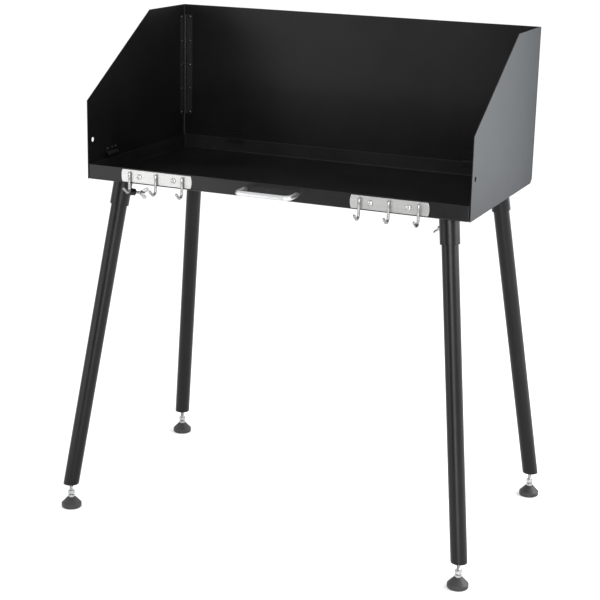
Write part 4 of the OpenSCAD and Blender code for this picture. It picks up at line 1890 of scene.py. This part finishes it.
    def build_handle(self) -> bpy.types.Mesh:
        """The handle: one bar, bent twice, with its feet cut flush with the lip.

        Returns:
            The mesh.
        """
        half, bend, reach = self.handle_l / 2, self.handle_r, self.handle_out
        outline: list[Point] = [(half, 0.0), (half, -1.0), (half, -8.0)]
        outline += arc((half - bend, -reach + bend), bend, 0, -90, 12)
        outline += [(half - bend - 8 - 2.3 * k, -reach) for k in range(14)]
        outline += [(-x, y) for x, y in reversed(outline)]
        path = [Vector((x, y, 0)) for x, y in outline]
        bar = Solid().swept(path, [self.handle_d / 2] * len(path), Vector((0, 0, 1)), 36)
        return bar.moved(self.at_lip(self.handle_x, 0, self.handle_z)).mesh("pull_bar", 50)

    def build_handle_screws(self) -> bpy.types.Mesh:
        """The handle's screw heads, inside the lip.

        Returns:
            The mesh.
        """
        points = [(self.handle_x + end * self.handle_l / 2, -self.handle_z, 0) for end in (-1, 1)]
        heads = self.screw_heads(self.handle_head_d, self.handle_head_h, self.handle_cross, points)
        return put(heads, self.at_lip(0, self.tray.sheet, 0, -90))

    def dress(self) -> None:
        """Puts the fittings into the scene."""
        for side in Side:
            place(f"hook_rail_{side.word}", self.build_rail(side), "base", STAINLESS, f"rail_{side.word}")
            # The hooks' steel carries painted shade: a far darker tone than the rails'.
            place(f"tool_hooks_{side.word}", self.build_hooks(side), "base", POLISHED_PAINTED_SHADE, f"hooks_{side.word}")
        place("rail_cross_screws", self.build_screws(), "base", ZINC, "rail_screws")
        place("rail_hex_nuts", self.build_nuts(), "base", ZINC, "rail_nuts")
        place("pull_bar", self.build_handle(), "base", SATIN, "handle")
        place("handle_cross_screws", self.build_handle_screws(), "base", ZINC, "handle_screws")


@dataclass(frozen=True)
class SoftLight:
    """A soft light: its place, the point that it faces, its size and its tint.

    Its glow is its brightness, where the white background is 1.
    """

    name: str
    spot: Spot
    aim: Spot
    size: Point
    glow: float
    tint: Colour = grey(1.0)

    def dress(self) -> None:
        """Stands the light up."""
        data = bpy.data.lights.new(self.name, "AREA")
        data.shape = "RECTANGLE"
        data.size, data.size_y = self.size
        data.energy = self.glow * math.pi * self.size[0] * self.size[1]
        data.color = self.tint
        light = shown(self.name, data)
        light.visible_camera = False
        turn = (Vector(self.aim) - Vector(self.spot)).to_track_quat("-Z", "Y")
        light.matrix_world = Matrix.Translation(self.spot) @ turn.to_matrix().to_4x4()


@dataclass(frozen=True)
class DarkCard:
    """A dark card that only reflections show, from its four corners in millimetres, in turn: painted shade in
    what shiny parts reflect, which casts no shadow and lights nothing.
    """

    name: str
    corners: tuple[Spot, ...]
    thickness: float = 5.0

    def dress(self) -> None:
        """Stands the card up."""
        face = [Vector(p) for p in self.corners]
        lift = self.thickness * (face[1] - face[0]).cross(face[3] - face[0]).normalized()
        card = shown(self.name, Solid().loft([[p - lift for p in face], face]).mesh(self.name))
        card.data.materials.append(CARD.material())
        card.visible_camera = False
        card.visible_diffuse = False
        card.visible_shadow = False


# Painted shade in reflections: the front card darkens the lip's right end and the right rail, the rear flag
# the rear of the right wing.
CARDS = (
    DarkCard("front_card", ((-520, -1500, 10), (350, -1500, 10), (600, -3400, 1500), (-1000, -3400, 1500))),
    DarkCard("rear_flag", ((420, 560, 50), (545, 560, 50), (530, 560, 1150), (420, 560, 1150))),
)
LIGHTS = (
    SoftLight("front_box", (1.8, -4.1, 1.5), (0.3, 0, 0.7), (1.8, 1.2), 16.0),
    SoftLight("leg_strip", (0.95, -2.15, 0.12), (0.3, 0, 0.5), (0.75, 0.22), 14.0),
    SoftLight("left_box", (-2.4, -2.3, 0.9), (0.0, 0, 0.7), (1.8, 1.8), 2.2),
    SoftLight("low_strip", (-1.05, -1.95, 0.13), (0.0, 0, 0.7), (0.8, 0.24), 4.0),
    SoftLight("right_wall", (2.6, 0.5, 1.4), (0.4, 0, 0.9), (2.0, 1.4), 9.0),
    SoftLight("rear_box", (1.35, 1.6, 0.8), (0.4, 0, 0.85), (0.8, 1.0), 2.4, (0.86, 0.97, 1.05)),
)


@dataclass
class Studio:
    """The floor, the lights and the camera."""

    spot: Spot = (1.19190, -2.79936, 1.31578)
    yaw: float = -23.3468
    pitch: float = 15.7298
    roll: float = 1.2872
    focus: float = 1543.65
    middle: Point = (301.62, 292.35)
    frame_size: float = 600.0
    sensor: float = 36.0
    far: float = 200.0
    floor_r: float = 40000.0
    floor_t: float = 2.0
    sky: float = 1.1

    def add_camera(self) -> None:
        """Stands the camera where the picture was taken from."""
        yaw, pitch, roll = (math.radians(a) for a in (self.yaw, self.pitch, self.roll))
        ahead = Vector((math.sin(yaw) * math.cos(pitch), math.cos(yaw) * math.cos(pitch), -math.sin(pitch)))
        right = Vector((math.cos(yaw), -math.sin(yaw), 0))
        up = right.cross(ahead)
        across = math.cos(roll) * right + math.sin(roll) * up
        upright = math.cos(roll) * up - math.sin(roll) * right
        lens = bpy.data.cameras.new("camera")
        lens.sensor_width = self.sensor
        lens.lens = self.sensor * self.focus / self.frame_size
        lens.shift_x = (self.frame_size / 2 - self.middle[0]) / self.frame_size
        lens.shift_y = (self.middle[1] - self.frame_size / 2) / self.frame_size
        lens.clip_end = self.far
        camera = shown("camera", lens)
        turn = Matrix((across, upright, -ahead)).transposed()
        camera.matrix_world = Matrix.Translation(self.spot) @ turn.to_4x4()
        bpy.context.scene.camera = camera

    def add_floor(self) -> None:
        """Lays the pale floor."""
        disc = Solid().turned([(self.floor_r, -self.floor_t), (self.floor_r, 0)], 64)
        floor = shown("floor", disc.mesh("floor"))
        floor.data.materials.append(FLOOR.material())

    def add_sky(self) -> None:
        """Fills the studio with even white light."""
        scene = bpy.context.scene
        scene.world = bpy.data.worlds.new("studio")
        scene.world.use_nodes = True
        ground = scene.world.node_tree.nodes["Background"]
        ground.inputs["Color"].default_value = (1.0, 1.0, 1.0, 1.0)
        ground.inputs["Strength"].default_value = self.sky
        scene.view_settings.view_transform = "Standard"

    def dress(self) -> None:
        """Sets up the studio."""
        self.add_camera()
        self.add_floor()
        self.add_sky()
        for prop in (*CARDS, *LIGHTS):
            prop.dress()


EAR_TURNS = {
    Corner.FRONT_LEFT: 20.0,
    Corner.FRONT_RIGHT: 50.0,
    Corner.REAR_LEFT: 100.0,
    Corner.REAR_RIGHT: 40.0,
}


def main() -> None:
    """Builds the studio and each sub-assembly in turn."""
    logging.basicConfig(level=logging.INFO, format="%(name)s: %(message)s")
    Studio().dress()
    kit = Kit()
    tray = Tray()
    tray.dress()
    for corner, turn in EAR_TURNS.items():
        LegCorner(corner, kit, turn).dress()
    Windscreen(tray, kit).dress()
    FrontFittings(tray, kit).dress()


if __name__ == "__main__":
    main()
